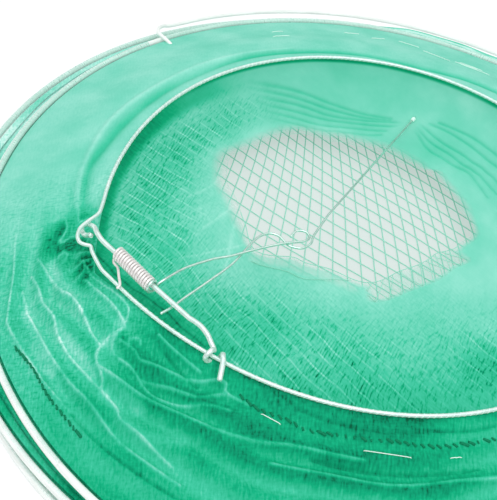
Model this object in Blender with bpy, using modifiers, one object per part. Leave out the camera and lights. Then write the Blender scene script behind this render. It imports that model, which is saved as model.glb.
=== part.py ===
"""Folding fish keeper basket of wire rings and net, packed flat, with a sprung arm in its mouth."""
import math

import bmesh
import bpy
from mathutils import Matrix, Vector

MM = 0.001

# Gap between pieces that touch each other
TOUCH_GAP = 0.3 * MM

# The three body rings, each a wire bent round with lapped and welded ends
BODY_RING_RADIUS = 200 * MM
BODY_WIRE = 3.2 * MM
RING_LAP = math.radians(15)
LAP_BEND = math.radians(7.5)
UPPER_LAP_TILT = math.radians(20)
PACKED_NET_UNDER_MIDDLE = 2.5 * MM
PACKED_NET_UNDER_UPPER = 2.0 * MM
MIDDLE_RING_SHIFT = Vector((-5.6, 6.1, 0)) * MM
UPPER_RING_SHIFT = Vector((7.2, 4.9, 0)) * MM
BASE_LAP_AT = math.radians(60)
MIDDLE_LAP_AT = math.radians(187.5)
UPPER_LAP_AT = math.radians(232.5)

# The mouth ring: nearly round, drawn out to a corner that ends in an open pocket
MOUTH_RING_RADIUS = 117.5 * MM
MOUTH_OVAL = 1.2 * MM
MOUTH_CORNER_REACH = 29.4 * MM
MOUTH_CORNER_AT = math.radians(211)
MOUTH_CORNER_SPREAD = 0.65
MOUTH_WIRE = 2.0 * MM
MOUTH_SHIFT = Vector((3.0, 5.3, 0)) * MM
MOUTH_ABOVE_UPPER = 31.7 * MM
POCKET_FROM = math.radians(-13.5)
POCKET_TO = math.radians(3.5)

# Nets, and the hems that fold them over the rings
NET_THICKNESS = 0.6 * MM
HEM_THICKNESS = 0.5 * MM
HEM_SPAN = math.radians(35)
HEM_FROM_POCKET = math.radians(4)
NET_SEGMENTS = 48
WALL_FOLD = 22 * MM
SHOULDER_FOLD = 2.2 * MM
SHOULDER_PLEAT = 1.2 * MM
SHOULDER_PLEATS = 11
SEAM_FROM_UPPER_RING = 14 * MM
SEAM_THREAD = 0.9 * MM
SLEEVE_DEPTH = 29 * MM
SLEEVE_STEEPNESS = 0.58
SLEEVE_HOLE_CENTRE = Vector((-12.6, 29, 0)) * MM
LIP_CORD = 1.2 * MM

# Distance from the middle of the sleeve's hole to its lip, by direction in degrees
SLEEVE_HOLE = (
    (11, 83 * MM), (28, 80 * MM), (45, 68 * MM), (63, 60 * MM), (93, 54 * MM), (126, 55 * MM), (164, 61 * MM),
    (193, 67 * MM), (212, 67 * MM), (226, 69 * MM), (244, 55 * MM), (261, 51 * MM), (281, 56 * MM),
    (305, 50 * MM), (329, 51 * MM), (355, 66 * MM),
)

# The floor net, flat and square-meshed, with a woven edge
FLOOR_MESH = 36 * MM
FLOOR_NET_TURN = math.radians(38)
FLOOR_STRAND = 1.6 * MM
FLOOR_NET_THICKNESS = 1.0 * MM
FLOOR_EDGE_WIDTH = 2.4 * MM

# The pivot rod, which runs across the ring's corner just above it
ROD_WIRE = 2.3 * MM
ROD_DIRECTION = math.radians(-35.1)
ROD_FROM_CORNER = 21.0 * MM
ROD_INSIDE_CORNER = 7.5 * MM
ROD_ABOVE_RING = 5.0 * MM
ROD_STRAIGHT_TO = 30 * MM
ROD_WRAP_AT = 49.1 * MM
ROD_WRAP_REACH = 4.6 * MM
ROD_TAIL = 9 * MM
ROD_ON_RING = 0.5 * MM

# The rod's turns round the ring: degrees round it from its inner side, and the way along it
ROD_WRAP = (
    (25, -1.9 * MM), (60, -1.9 * MM), (95, -2.1 * MM), (135, -2.6 * MM), (175, -2.9 * MM), (215, -2.3 * MM),
    (255, -0.8 * MM), (295, 0.8 * MM), (335, 1.7 * MM), (375, 2.2 * MM), (415, 2.9 * MM), (450, 3.7 * MM),
    (475, 4.6 * MM),
)

# The torsion spring
SPRING_WIRE = 1.05 * MM
SPRING_COIL_RADIUS = 2.75 * MM
SPRING_LENGTH = 22.8 * MM
SPRING_TURNS = 15
SPRING_FROM = -16.3 * MM
SPRING_LEAN = 0.6 * MM
SPRING_FOOT_AT = -3.6 * MM
TURN_POINTS = 9
LEG_GAP_TURN = 0.1
LEG_TURNS = 1.18
LEG_BLENDS_WITHIN = 60 * MM

# The closing arm
ARM_WIRE = 1.0 * MM
ARM_DROOP = math.radians(6.6)
ARM_TIP_ALONG = -7.0 * MM
ARM_TIP_FROM_RING = 13.4 * MM
ARM_MEETS_RING_AT = math.radians(82)
TIE_THREAD = 0.6 * MM
TIE_FROM_TIP = 3 * MM

# The carrying handle, a bail hooked over the upper ring at both ends
HANDLE_WIRE = 2.2 * MM
HANDLE_RADIUS = 210 * MM
FAR_EYE_AT = math.radians(137.6)
NEAR_EYE_AT = FAR_EYE_AT - math.pi
FAR_EYE_REACH = 12 * MM
NEAR_EYE_REACH = 6 * MM
EYE_LEAN = math.radians(42)
EYE_END = 2.5 * MM
HEM_GAP_AT_EYE = 9 * MM

# Levels and radii that follow from the sizes above
BASE_LEVEL = BODY_WIRE / 2
MIDDLE_LEVEL = BASE_LEVEL + BODY_WIRE + PACKED_NET_UNDER_MIDDLE
UPPER_LEVEL = MIDDLE_LEVEL + BODY_WIRE + PACKED_NET_UNDER_UPPER
MOUTH_LEVEL = UPPER_LEVEL + MOUTH_ABOVE_UPPER
BASE_CENTRE = Vector((0, 0, BASE_LEVEL))
MIDDLE_CENTRE = MIDDLE_RING_SHIFT + Vector((0, 0, MIDDLE_LEVEL))
UPPER_CENTRE = UPPER_RING_SHIFT + Vector((0, 0, UPPER_LEVEL))
MOUTH_CENTRE = MOUTH_SHIFT + Vector((0, 0, MOUTH_LEVEL))
LAP_OFFSET = BODY_WIRE + TOUCH_GAP
BODY_HEM_RADIUS = BODY_WIRE / 2 + TOUCH_GAP + HEM_THICKNESS / 2
MOUTH_HEM_RADIUS = MOUTH_WIRE / 2 + TOUCH_GAP + HEM_THICKNESS / 2
NET_INSET = BODY_WIRE / 2 + 2 * TOUCH_GAP + HEM_THICKNESS
MOUTH_NET_INSET = MOUTH_WIRE / 2 + 2 * TOUCH_GAP + HEM_THICKNESS
NET_EDGE_RISE = NET_THICKNESS / 2 + 1.5 * TOUCH_GAP
EYE_CLEARANCE = (BODY_WIRE + HANDLE_WIRE) / 2 + TOUCH_GAP
EYE_HALF_WIDTH = (EYE_CLEARANCE + 0.1 * TOUCH_GAP) / math.sin(EYE_LEAN)
SPRING_PITCH = SPRING_LENGTH / SPRING_TURNS
WRAP_RADIUS = (MOUTH_WIRE + ROD_WIRE) / 2 + ROD_ON_RING
UNDER_POCKET = -(MOUTH_WIRE + ROD_WIRE) / 2 - TOUCH_GAP

UP = Vector((0, 0, 1))
ALONG_ROD = Vector((math.cos(ROD_DIRECTION), math.sin(ROD_DIRECTION), 0))
ACROSS_ROD = UP.cross(ALONG_ROD)
ALONG_ARM = ACROSS_ROD * math.cos(ARM_DROOP) - UP * math.sin(ARM_DROOP)
ABOVE_ARM = ALONG_ROD.cross(ALONG_ARM)


def clear_scene():
    for item in list(bpy.data.objects):
        bpy.data.objects.remove(item, do_unlink=True)


def new_collection(name):
    group = bpy.data.collections.new(name)
    bpy.context.scene.collection.children.link(group)
    return group


def principled(name, colour, roughness, metallic=0.0):
    material = bpy.data.materials.new(name)
    material.use_nodes = True
    shader = material.node_tree.nodes["Principled BSDF"]
    shader.inputs["Base Color"].default_value = (*colour, 1)
    shader.inputs["Roughness"].default_value = roughness
    shader.inputs["Metallic"].default_value = metallic
    material.diffuse_color = (*colour, 1)
    return material


def mix(low, high, share):
    return low + (high - low) * share


def flat(angle):
    return Vector((math.cos(angle), math.sin(angle), 0))


def full_turn(count=NET_SEGMENTS):
    return [2 * math.pi * i / count for i in range(count)]


def arc(start, end, count=NET_SEGMENTS):
    return [mix(start, end, i / count) for i in range(count + 1)]


def smooth_path(points, steps):
    """Points on a Catmull-Rom curve through the given points."""
    path = []
    for i in range(len(points) - 1):
        a, b, c = points[max(i - 1, 0)], points[i], points[i + 1]
        d = points[min(i + 2, len(points) - 1)]
        for step in range(steps):
            t = step / steps
            bend = (c - a) * t + (2 * a - 5 * b + 4 * c - d) * t**2 + (3 * b - a - 3 * c + d) * t**3
            path.append(b + bend / 2)
    return path + [points[-1]]


def wire(name, points, diameter, material, closed=False, resolution=1):
    """A round wire along points in world space."""
    curve = bpy.data.curves.new(name, "CURVE")
    curve.dimensions = "3D"
    curve.bevel_depth = diameter / 2
    curve.bevel_resolution = resolution
    curve.use_fill_caps = True
    spline = curve.splines.new("POLY")
    spline.points.add(len(points) - 1)
    for place, point in zip(spline.points, points):
        place.co = (*point, 1)
    spline.use_cyclic_u = closed
    spline.use_smooth = True
    curve.materials.append(material)
    item = bpy.data.objects.new(name, curve)
    BASKET.objects.link(item)
    return item


def sheet(name, rows, thickness, material, closed=True):
    """A shell of even thickness over rows of points."""
    surface = bpy.data.meshes.new(name)
    bm = bmesh.new()
    grid = [[bm.verts.new(point) for point in row] for row in rows]
    for low, high in zip(grid, grid[1:]):
        count = len(low)
        for i in range(count if closed else count - 1):
            k = (i + 1) % count
            bm.faces.new((low[i], low[k], high[k], high[i]))
    bm.to_mesh(surface)
    bm.free()
    surface.shade_smooth()
    surface.materials.append(material)
    item = bpy.data.objects.new(name, surface)
    BASKET.objects.link(item)
    solidify = item.modifiers.new("thickness", "SOLIDIFY")
    solidify.thickness = thickness
    solidify.offset = 0
    return item


def combine(item, operation, other):
    boolean = item.modifiers.new(other.name, "BOOLEAN")
    boolean.operation = operation
    boolean.object = other


def move_to(item, group):
    for old in list(item.users_collection):
        old.objects.unlink(item)
    group.objects.link(item)


def as_cutter(item):
    move_to(item, CUTTERS)
    item.hide_render = True
    item.display_type = "WIRE"
    return item


def block_cutter(name, centre, axes, low, high):
    """A box from low to high, measured from centre along three axes."""
    bpy.ops.mesh.primitive_cube_add(size=1)
    item = bpy.context.active_object
    item.name = name
    frame = Matrix(axes).transposed().to_4x4()
    middle = Matrix.Translation((Vector(high) + Vector(low)) / 2)
    scale = Matrix.Diagonal((*(Vector(high) - Vector(low)), 1))
    item.data.transform(Matrix.Translation(centre) @ frame @ middle @ scale)
    return as_cutter(item)


# The mouth ring's line, and what is measured from it


def mouth_radius(angle):
    turn = (angle - MOUTH_CORNER_AT + math.pi) % (2 * math.pi) - math.pi
    corner = MOUTH_CORNER_REACH * math.exp(-abs(turn) / MOUTH_CORNER_SPREAD)
    return MOUTH_RING_RADIUS + MOUTH_OVAL * math.cos(2 * angle) + corner


def on_mouth_ring(angle, inset=0.0, rise=0.0):
    return MOUTH_CENTRE + flat(angle) * (mouth_radius(angle) - inset) + UP * rise


HINGE = (
    on_mouth_ring(MOUTH_CORNER_AT) + ALONG_ROD * ROD_FROM_CORNER + ACROSS_ROD * ROD_INSIDE_CORNER
    + UP * ROD_ABOVE_RING
)


def by_rod(along, across, above_ring=ROD_ABOVE_RING):
    """A point measured from the hinge along and across the rod, and from the mouth ring's plane."""
    return HINGE + ALONG_ROD * along + ACROSS_ROD * across + UP * (above_ring - ROD_ABOVE_RING)


def by_arm(along, out, above):
    """A point measured in the closing arm's own sloping plane."""
    return HINGE + ALONG_ROD * along + ALONG_ARM * out + ABOVE_ARM * above


def ring_angle_at(along):
    """The angle at which the mouth ring, past its corner, lies at this distance along the rod."""
    low, high = MOUTH_CORNER_AT, MOUTH_CORNER_AT + math.pi / 2
    for _ in range(40):
        middle = (low + high) / 2
        if (on_mouth_ring(middle) - HINGE).dot(ALONG_ROD) < along:
            low = middle
        else:
            high = middle
    return low


def ring_axes(angle):
    """The mouth ring's direction at an angle, the way inward from it, and up."""
    along = (on_mouth_ring(angle + 0.01) - on_mouth_ring(angle - 0.01)).normalized()
    return along, UP.cross(along), UP


WRAP_ANGLE = ring_angle_at(ROD_WRAP_AT)
WRAP_HALF_LENGTH = ROD_WRAP_REACH + ROD_WIRE / 2 + 4 * TOUCH_GAP
WRAP_HALF_ANGLE = (WRAP_HALF_LENGTH + TOUCH_GAP) / mouth_radius(WRAP_ANGLE)
ARM_REACH = (on_mouth_ring(ARM_MEETS_RING_AT) - HINGE).dot(ACROSS_ROD) - ARM_TIP_FROM_RING


# Rings


def whole_steps(start, end):
    """Every whole step of the rings' and nets' segments from start to end."""
    step = 2 * math.pi / NET_SEGMENTS
    return [step * i for i in range(math.ceil(start / step - 0.01), math.floor(end / step + 0.01) + 1)]


def body_ring(name, centre, lap_at, lap_offset, material):
    """One wire round the ring, whose first end lies beside its last along the lap."""
    lap_end = lap_at + RING_LAP
    lapped = [centre + flat(a) * BODY_RING_RADIUS + lap_offset(a) for a in whole_steps(lap_at, lap_end)]
    around = whole_steps(lap_end + LAP_BEND, lap_end + 2 * math.pi)
    points = lapped + [centre + flat(a) * BODY_RING_RADIUS for a in around]
    return wire(name, points, BODY_WIRE, material)


def lap_outward(angle):
    return flat(angle) * LAP_OFFSET


def lap_above(angle):
    return (UP * math.cos(UPPER_LAP_TILT) + flat(angle) * math.sin(UPPER_LAP_TILT)) * LAP_OFFSET


def mouth_ring_points():
    """The ring's wire, with the open pocket that it makes beyond its corner."""
    pocket = [
        (-43.0, 12.5), (-42.3, 6.9), (-41.4, 1.5), (-40.0, -1.3), (-37.6, -3.9), (-34.6, -5.2), (-32.0, -4.3),
        (-29.8, -3.0), (-27.2, -4.4), (-23.6, -5.8), (-16.5, -8.0),
    ]
    start = MOUTH_CORNER_AT + POCKET_TO
    end = MOUTH_CORNER_AT + POCKET_FROM + 2 * math.pi
    around = [on_mouth_ring(a) for a in arc(start, end)]
    bends = [by_rod(t * MM, u * MM, 0) for t, u in pocket]
    corner = smooth_path([*around[-2:], *bends, *around[:2]], 2)
    return around[1:-1] + corner[2:-2]


# Nets


def edge_dip(angle):
    """How far the nets' edges sink under the pocket, so that its bare wire lies above them."""
    turn = (angle - MOUTH_CORNER_AT + math.radians(6) + math.pi) % (2 * math.pi) - math.pi
    return 6.4 * MM * math.exp(-((turn / math.radians(11)) ** 4))


def mouth_edge(angle, inset):
    return on_mouth_ring(angle, inset, -NET_EDGE_RISE - edge_dip(angle))


def shoulder_point(angle, share):
    """A point of the cloth between the mouth ring, at share 0, and the upper ring, at share 1."""
    outer = UPPER_CENTRE + flat(angle) * (BODY_RING_RADIUS - NET_INSET) + UP * NET_EDGE_RISE
    point = mix(mouth_edge(angle, -MOUTH_NET_INSET), outer, share)
    ridge = SHOULDER_FOLD * math.sin(3 * math.pi * share)
    pleat = SHOULDER_PLEAT * math.cos(SHOULDER_PLEATS * angle)
    return point - UP * math.sin(math.pi * share) * (ridge + pleat)


def wall_row(low_centre, high_centre, share):
    """One row of a packed wall, drawn inward between two body rings."""
    middle = mix(low_centre + UP * NET_EDGE_RISE, high_centre - UP * NET_EDGE_RISE, share)
    radius = BODY_RING_RADIUS - NET_INSET - WALL_FOLD * math.sin(math.pi * share)
    return [middle + flat(a) * radius for a in full_turn()]


def wall_net(name, low_centre, high_centre, material):
    rows = [wall_row(low_centre, high_centre, share) for share in (0, 0.25, 0.5, 0.75, 1)]
    return sheet(name, rows, NET_THICKNESS, material)


def hole_radius(angle):
    """The sleeve's hole in any direction, read smoothly between its given distances."""
    spots = [(math.radians(degrees), radius) for degrees, radius in SLEEVE_HOLE]
    whole = 2 * math.pi
    spots = [(spots[-1][0] - whole, spots[-1][1]), *spots, (spots[0][0] + whole, spots[0][1])]
    angle = angle % whole
    (a, low), (b, high) = next(pair for pair in zip(spots, spots[1:]) if pair[1][0] >= angle)
    return mix(low, high, 0.5 - 0.5 * math.cos(math.pi * (angle - a) / (b - a)))


def lip_point(angle, inset=0.0):
    reach = hole_radius(angle) - inset
    return MOUTH_CENTRE + SLEEVE_HOLE_CENTRE + flat(angle) * reach - UP * SLEEVE_DEPTH


def sleeve_point(angle, share):
    """A point of the inner sleeve between the mouth ring, at share 0, and its lip, at share 1."""
    top = mouth_edge(angle, MOUTH_NET_INSET)
    lip = lip_point(angle)
    point = mix(top, lip, share)
    point.z = mix(top.z, lip.z, math.sin(math.pi * share / 2) ** SLEEVE_STEEPNESS)
    return point


def hem_rows(point_at, angles, turns):
    """Rows of a hem folded round a ring's wire, from its inner side towards its top or outer side."""
    return [[point_at(a, math.cos(turn), math.sin(turn)) for a in angles] for turn in turns]


def body_hem(name, centre, angles, material, closed=True):
    def point_at(angle, inward, up):
        radius = BODY_RING_RADIUS - BODY_HEM_RADIUS * inward
        return centre + flat(angle) * radius + UP * BODY_HEM_RADIUS * up

    rows = hem_rows(point_at, angles, (-HEM_SPAN, 0, HEM_SPAN))
    return sheet(name, rows, HEM_THICKNESS, material, closed)


def mouth_hem(name, start, end, count, material):
    def point_at(angle, inward, up):
        return on_mouth_ring(angle, MOUTH_HEM_RADIUS * inward, MOUTH_HEM_RADIUS * up)

    rows = hem_rows(point_at, arc(start, end, count), [math.radians(a) for a in (-180, -120, -60, 0)])
    return sheet(name, rows, HEM_THICKNESS, material, closed=False)


def floor_net(material):
    """A flat square-meshed net with a crossing at its middle, cut round and joined to its woven edge."""
    outer = BODY_RING_RADIUS - NET_INSET
    cells = 2 * math.ceil(BODY_RING_RADIUS / FLOOR_MESH)
    bpy.ops.mesh.primitive_grid_add(
        x_subdivisions=cells, y_subdivisions=cells, size=cells * FLOOR_MESH,
        location=(0, 0, FLOOR_NET_THICKNESS / 2), rotation=(0, 0, FLOOR_NET_TURN),
    )
    net = bpy.context.active_object
    net.name = "base_net"
    net.data.materials.append(material)
    move_to(net, BASKET)
    bm = bmesh.new()
    bm.from_mesh(net.data)
    beyond = [face for face in bm.faces if min(v.co.length for v in face.verts) > outer]
    bmesh.ops.delete(bm, geom=beyond, context="FACES")
    gaps = list(bm.faces)
    bmesh.ops.inset_individual(bm, faces=gaps, thickness=FLOOR_STRAND / 2)
    bmesh.ops.delete(bm, geom=gaps, context="FACES")
    bm.to_mesh(net.data)
    bm.free()
    solidify = net.modifiers.new("thickness", "SOLIDIFY")
    solidify.thickness = FLOOR_NET_THICKNESS
    solidify.offset = 0
    bpy.ops.mesh.primitive_cylinder_add(
        vertices=NET_SEGMENTS, radius=outer - FLOOR_EDGE_WIDTH / 2, depth=8 * FLOOR_NET_THICKNESS
    )
    disc = as_cutter(bpy.context.active_object)
    disc.name = "floor_outline"
    combine(net, "INTERSECT", disc)
    combine(net, "UNION", floor_edge(outer))
    return net


def floor_edge(outer):
    """The net's woven edge, a flat band turned about the basket's axis."""
    band = bpy.data.meshes.new("floor_edge")
    bm = bmesh.new()
    inner = outer - FLOOR_EDGE_WIDTH
    corners = [(outer, FLOOR_NET_THICKNESS), (outer, 0), (inner, 0), (inner, FLOOR_NET_THICKNESS)]
    verts = [bm.verts.new((x, 0, z)) for x, z in corners]
    for a, b in zip(verts, verts[1:] + verts[:1]):
        bm.edges.new((a, b))
    bm.to_mesh(band)
    bm.free()
    item = as_cutter(bpy.data.objects.new("floor_edge", band))
    screw = item.modifiers.new("turn", "SCREW")
    screw.steps = NET_SEGMENTS
    screw.render_steps = NET_SEGMENTS
    screw.use_merge_vertices = True
    screw.merge_threshold = 0.00005
    return item


# The hinge


def rod_points():
    """The rod from its open eye under the pocket, over its straight, to its turns round the ring."""
    eye = [
        (-33.4, 0.2, -0.7), (-35.1, 0.8, -0.1), (-36.7, 1.0, 0.6), (-38.9, 1.2, 1.2), (-41.4, 1.9, 1.4),
        (-43.4, 3.6, 1.4), (-43.8, 5.6, 1.4), (-42.6, 6.8, 1.15), (-40.6, 6.2, 0.65), (-37.9, 5.1, -0.4),
        (-34.8, 3.6, -1.3), (-31.2, 1.7, -1.85),
    ]
    points = [by_rod(t * MM, u * MM, level * UNDER_POCKET) for t, u, level in eye]
    points += [by_rod(-26 * MM, 0.2 * MM), by_rod(-20 * MM, 0)]
    far_end = smooth_path([by_rod(ROD_STRAIGHT_TO, 0), *wrap_points()], 2)
    return smooth_path(points, 3) + [by_rod(0, 0)] + far_end


def wrap_points():
    """The rod's way down to the mouth ring, its turns round it and its cut tail."""
    centre = on_mouth_ring(WRAP_ANGLE)
    along, inward, _ = ring_axes(WRAP_ANGLE)
    bend = [(35.6, 0.9, 4.9), (40.3, 0.5, 4.3), (42.8, 0.1, 2.9)]
    points = [by_rod(t * MM, u * MM, above * MM) for t, u, above in bend]
    for degrees, shift in ROD_WRAP:
        turn = math.radians(degrees)
        points.append(centre + along * shift + (inward * math.cos(turn) + UP * math.sin(turn)) * WRAP_RADIUS)
    tail = (along * 0.4 - inward - UP * 0.25).normalized()
    return points + [points[-1] + tail * ROD_TAIL * 0.4 + UP * 0.4 * MM, points[-1] + tail * ROD_TAIL]


def coil_point(turns):
    """A point of the spring's wire after some turns from its first, lowest point."""
    turn = 2 * math.pi * turns - math.pi / 2
    lean = SPRING_LEAN * (1 - 2 * turns / (SPRING_TURNS + LEG_TURNS))
    across = SPRING_COIL_RADIUS * math.cos(turn) + lean
    above = SPRING_COIL_RADIUS * math.sin(turn)
    return by_rod(SPRING_FROM + SPRING_PITCH * turns, across, ROD_ABOVE_RING + above)


def spring_points():
    """The spring's short foot, which lies on the mouth ring, and its fixed turns."""
    over_ring = MOUTH_WIRE / 2 + TOUCH_GAP + SPRING_WIRE / 2
    ring = on_mouth_ring(ring_angle_at(SPRING_FOOT_AT)) - HINGE
    across = ring.dot(ACROSS_ROD)
    bottom = ROD_ABOVE_RING - SPRING_COIL_RADIUS
    low = mix(over_ring, bottom, 0.1) - 0.7 * MM
    foot = [
        by_rod(SPRING_FOOT_AT + 0.8 * MM, across - 2.4 * MM, over_ring),
        by_rod(SPRING_FOOT_AT, across, over_ring),
        by_rod(mix(SPRING_FOOT_AT, SPRING_FROM, 0.32), mix(across, 0, 0.34), over_ring - 0.4 * MM),
        by_rod(mix(SPRING_FOOT_AT, SPRING_FROM, 0.66), mix(across, 0, 0.70), low),
        by_rod(SPRING_FROM + 1.4 * MM, -2.2 * MM, bottom - 0.9 * MM),
        by_rod(SPRING_FROM - 0.1 * MM, -0.9 * MM, bottom - 0.4 * MM),
    ]
    return foot + [coil_point(i / TURN_POINTS) for i in range(SPRING_TURNS * TURN_POINTS + 1)]


def leg_points():
    """The spring's own last turn, then its long leg, which ends in a hook round the arm."""
    start = SPRING_TURNS + LEG_GAP_TURN
    end = start + LEG_TURNS
    turn = [coil_point(a) for a in arc(start, end, round(LEG_TURNS * TURN_POINTS))]
    reach = [
        (0.5, 4.9, 2.1), (0.2, 10, 1.9), (0.1, 19.3, 1.4), (2.6, 33, 1.0), (5.8, 42.2, 0.8), (8.0, 51, 0.75),
        (11.6, 63.5, 0.75), (14.8, 72.2, 0.75), (18.0, 79.4, 0.5), (18.0, 84.2, 0.3), (14.2, 86, 0.3),
        (11.2, 82.6, 0.3), (12.0, 77.2, -0.3),
    ]
    hook_base = 8.4 * MM
    coil_end = SPRING_FROM + SPRING_PITCH * end
    points = []
    for along, out, above in reach:
        share = min(1, out * MM / LEG_BLENDS_WITHIN)
        points.append(by_arm(mix(coil_end, hook_base, share) + along * MM, out * MM, above * MM))
    return turn + smooth_path(points, 2)


def arm_points():
    """The closing arm: its tail under the rod, the bends round the spring's hook, and its long tip."""
    under_rod = -(ROD_WIRE + ARM_WIRE) / 2 - TOUCH_GAP
    points = [by_arm(t * MM, s * MM, under_rod) for t, s in ((20.2, -6.8), (20.3, 0), (19.4, 8))]
    bends = [
        (18.6, 24, -1.2), (17.2, 40, -0.8), (13.8, 53.5, -0.75), (11.6, 64, -0.75), (12.6, 70.6, -0.75),
        (16.4, 73.2, -0.75), (21.0, 72.6, -0.75), (24.5, 72.8, -0.75), (28.6, 76.6, -0.75), (28.8, 83, -0.75),
        (25.8, 89, -0.6), (20.1, 107, -0.3),
    ]
    points = smooth_path(points + [by_arm(t * MM, s * MM, h * MM) for t, s, h in bends], 2)
    return points + [by_arm(ARM_TIP_ALONG, ARM_REACH / math.cos(ARM_DROOP), 0)]


def tie_points(arm_line):
    """A loop of thread round the arm just short of its tip."""
    along = (arm_line[-1] - arm_line[-2]).normalized()
    side = along.cross(UP).normalized()
    over = side.cross(along)
    radius = ARM_WIRE / 2 + TOUCH_GAP + TIE_THREAD / 2
    centre = arm_line[-1] - along * TIE_FROM_TIP
    return [centre + (side * math.cos(a) + over * math.sin(a)) * radius for a in full_turn(10)]


# The carrying handle


def eye_points(angle, reach):
    """The open eye at one end of the bail, from its cut end to where the bail starts."""
    centre = UPPER_CENTRE + flat(angle) * BODY_RING_RADIUS
    out = flat(angle)
    along = flat(FAR_EYE_AT - math.pi / 2)
    lean = along * math.cos(EYE_LEAN) + UP * math.sin(EYE_LEAN)
    half = EYE_HALF_WIDTH
    loop = [
        (EYE_END, -half), (0, -half), (2.6 * MM - reach, -half), (-reach, -0.62 * half), (-reach - 0.9 * MM, 0),
        (-reach, 0.62 * half), (2.6 * MM - reach, half), (0, half), (0.36 * BAIL_OFFSET, half),
    ]
    points = [centre + out * a + lean * b for a, b in loop]
    points.append(centre + out * 0.72 * BAIL_OFFSET + along * 1.45 * half + UP * 0.65 * half)
    return points + [centre + out * 0.93 * BAIL_OFFSET + along * 2.6 * half + UP * 0.35 * half]


BAIL_OFFSET = HANDLE_RADIUS - BODY_RING_RADIUS
BAIL_START = math.radians(5)


def handle_points():
    bail = [
        UPPER_CENTRE + flat(a) * HANDLE_RADIUS
        for a in arc(FAR_EYE_AT - BAIL_START, NEAR_EYE_AT + BAIL_START, NET_SEGMENTS // 2)
    ]
    far_end = smooth_path([*eye_points(FAR_EYE_AT, FAR_EYE_REACH), bail[0]], 2)
    near_end = smooth_path([bail[-1], *reversed(eye_points(NEAR_EYE_AT, NEAR_EYE_REACH))], 2)
    return far_end[:-1] + bail + near_end[1:]


def eye_cutter(name, angle, reach):
    """Room for an eye in the packed nets round it."""
    centre = UPPER_CENTRE + flat(angle) * BODY_RING_RADIUS
    room = EYE_HALF_WIDTH + HANDLE_WIRE / 2 + TOUCH_GAP
    inner = -reach - HANDLE_WIRE / 2 - 5 * TOUCH_GAP
    axes = (flat(angle), flat(angle + math.pi / 2), UP)
    return block_cutter(name, centre, axes, (inner, -room, -room), (NET_INSET, room, room))


def wrap_cutter():
    """Room for the rod's turns in the nets at the mouth ring."""
    room = WRAP_RADIUS + ROD_WIRE / 2 + TOUCH_GAP
    low, high = (-WRAP_HALF_LENGTH, -2 * room, -2 * room), (WRAP_HALF_LENGTH, room, room)
    return block_cutter("wrap_room", on_mouth_ring(WRAP_ANGLE), ring_axes(WRAP_ANGLE), low, high)


def least_gap(points, diameter, apart):
    """The least gap of a wire to itself, between stretches of its line that lie apart along it."""
    gaps = [(a - b).length for i, a in enumerate(points) for b in points[i + apart:]]
    return min(gaps) - diameter


def add_rings(white, steel):
    body_ring("base_ring", BASE_CENTRE, BASE_LAP_AT, lap_outward, white)
    body_ring("middle_ring", MIDDLE_CENTRE, MIDDLE_LAP_AT, lap_outward, white)
    body_ring("upper_ring", UPPER_CENTRE, UPPER_LAP_AT, lap_above, white)
    wire("mouth_ring", mouth_ring_points(), MOUTH_WIRE, steel, closed=True)


def add_nets(mint, coarse):
    floor_net(coarse)
    wall_net("lower_wall_net", BASE_CENTRE, MIDDLE_CENTRE, mint)
    upper_wall = wall_net("upper_wall_net", MIDDLE_CENTRE, UPPER_CENTRE, mint)
    shoulder_rows = [[shoulder_point(a, i / 6) for a in full_turn()] for i in range(7)]
    shoulder = sheet("shoulder_net", shoulder_rows, NET_THICKNESS, mint)
    sleeve_rows = [[sleeve_point(a, i / 5) for a in full_turn()] for i in range(6)]
    sleeve = sheet("sleeve_net", sleeve_rows, NET_THICKNESS, mint)
    far_eye = eye_cutter("far_eye_room", FAR_EYE_AT, FAR_EYE_REACH)
    near_eye = eye_cutter("near_eye_room", NEAR_EYE_AT, NEAR_EYE_REACH)
    for net in (upper_wall, shoulder):
        combine(net, "DIFFERENCE", far_eye)
        combine(net, "DIFFERENCE", near_eye)
    wraps = wrap_cutter()
    for net in (shoulder, sleeve):
        combine(net, "DIFFERENCE", wraps)


def add_hems(mint):
    body_hem("base_ring_hem", BASE_CENTRE, full_turn(), mint)
    body_hem("middle_ring_hem", MIDDLE_CENTRE, full_turn(), mint)
    gap = HEM_GAP_AT_EYE / BODY_RING_RADIUS
    back = whole_steps(NEAR_EYE_AT + gap, FAR_EYE_AT - gap)
    front = whole_steps(FAR_EYE_AT + gap, NEAR_EYE_AT + 2 * math.pi - gap)
    body_hem("upper_ring_hem_back", UPPER_CENTRE, back, mint, closed=False)
    body_hem("upper_ring_hem_front", UPPER_CENTRE, front, mint, closed=False)
    pocket_end = MOUTH_CORNER_AT + POCKET_TO + HEM_FROM_POCKET
    pocket_start = MOUTH_CORNER_AT + POCKET_FROM - HEM_FROM_POCKET + 2 * math.pi
    mouth_hem("mouth_hem", WRAP_ANGLE + WRAP_HALF_ANGLE, pocket_start, NET_SEGMENTS, mint)
    mouth_hem("mouth_hem_by_spring", pocket_end, WRAP_ANGLE - WRAP_HALF_ANGLE, 4, mint)


def add_threads(thread):
    share = 1 - SEAM_FROM_UPPER_RING / (BODY_RING_RADIUS - MOUTH_RING_RADIUS)
    lift = UP * (NET_THICKNESS / 2 + 2 * TOUCH_GAP + SEAM_THREAD / 2)
    seam = [shoulder_point(a, share) + lift for a in full_turn()]
    wire("shoulder_seam_thread", seam, SEAM_THREAD, thread, closed=True, resolution=0)
    inset = 2 * TOUCH_GAP + LIP_CORD / 2
    lip = [lip_point(a, inset) for a in full_turn()]
    wire("sleeve_lip_cord", lip, LIP_CORD, thread, closed=True, resolution=0)


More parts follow.
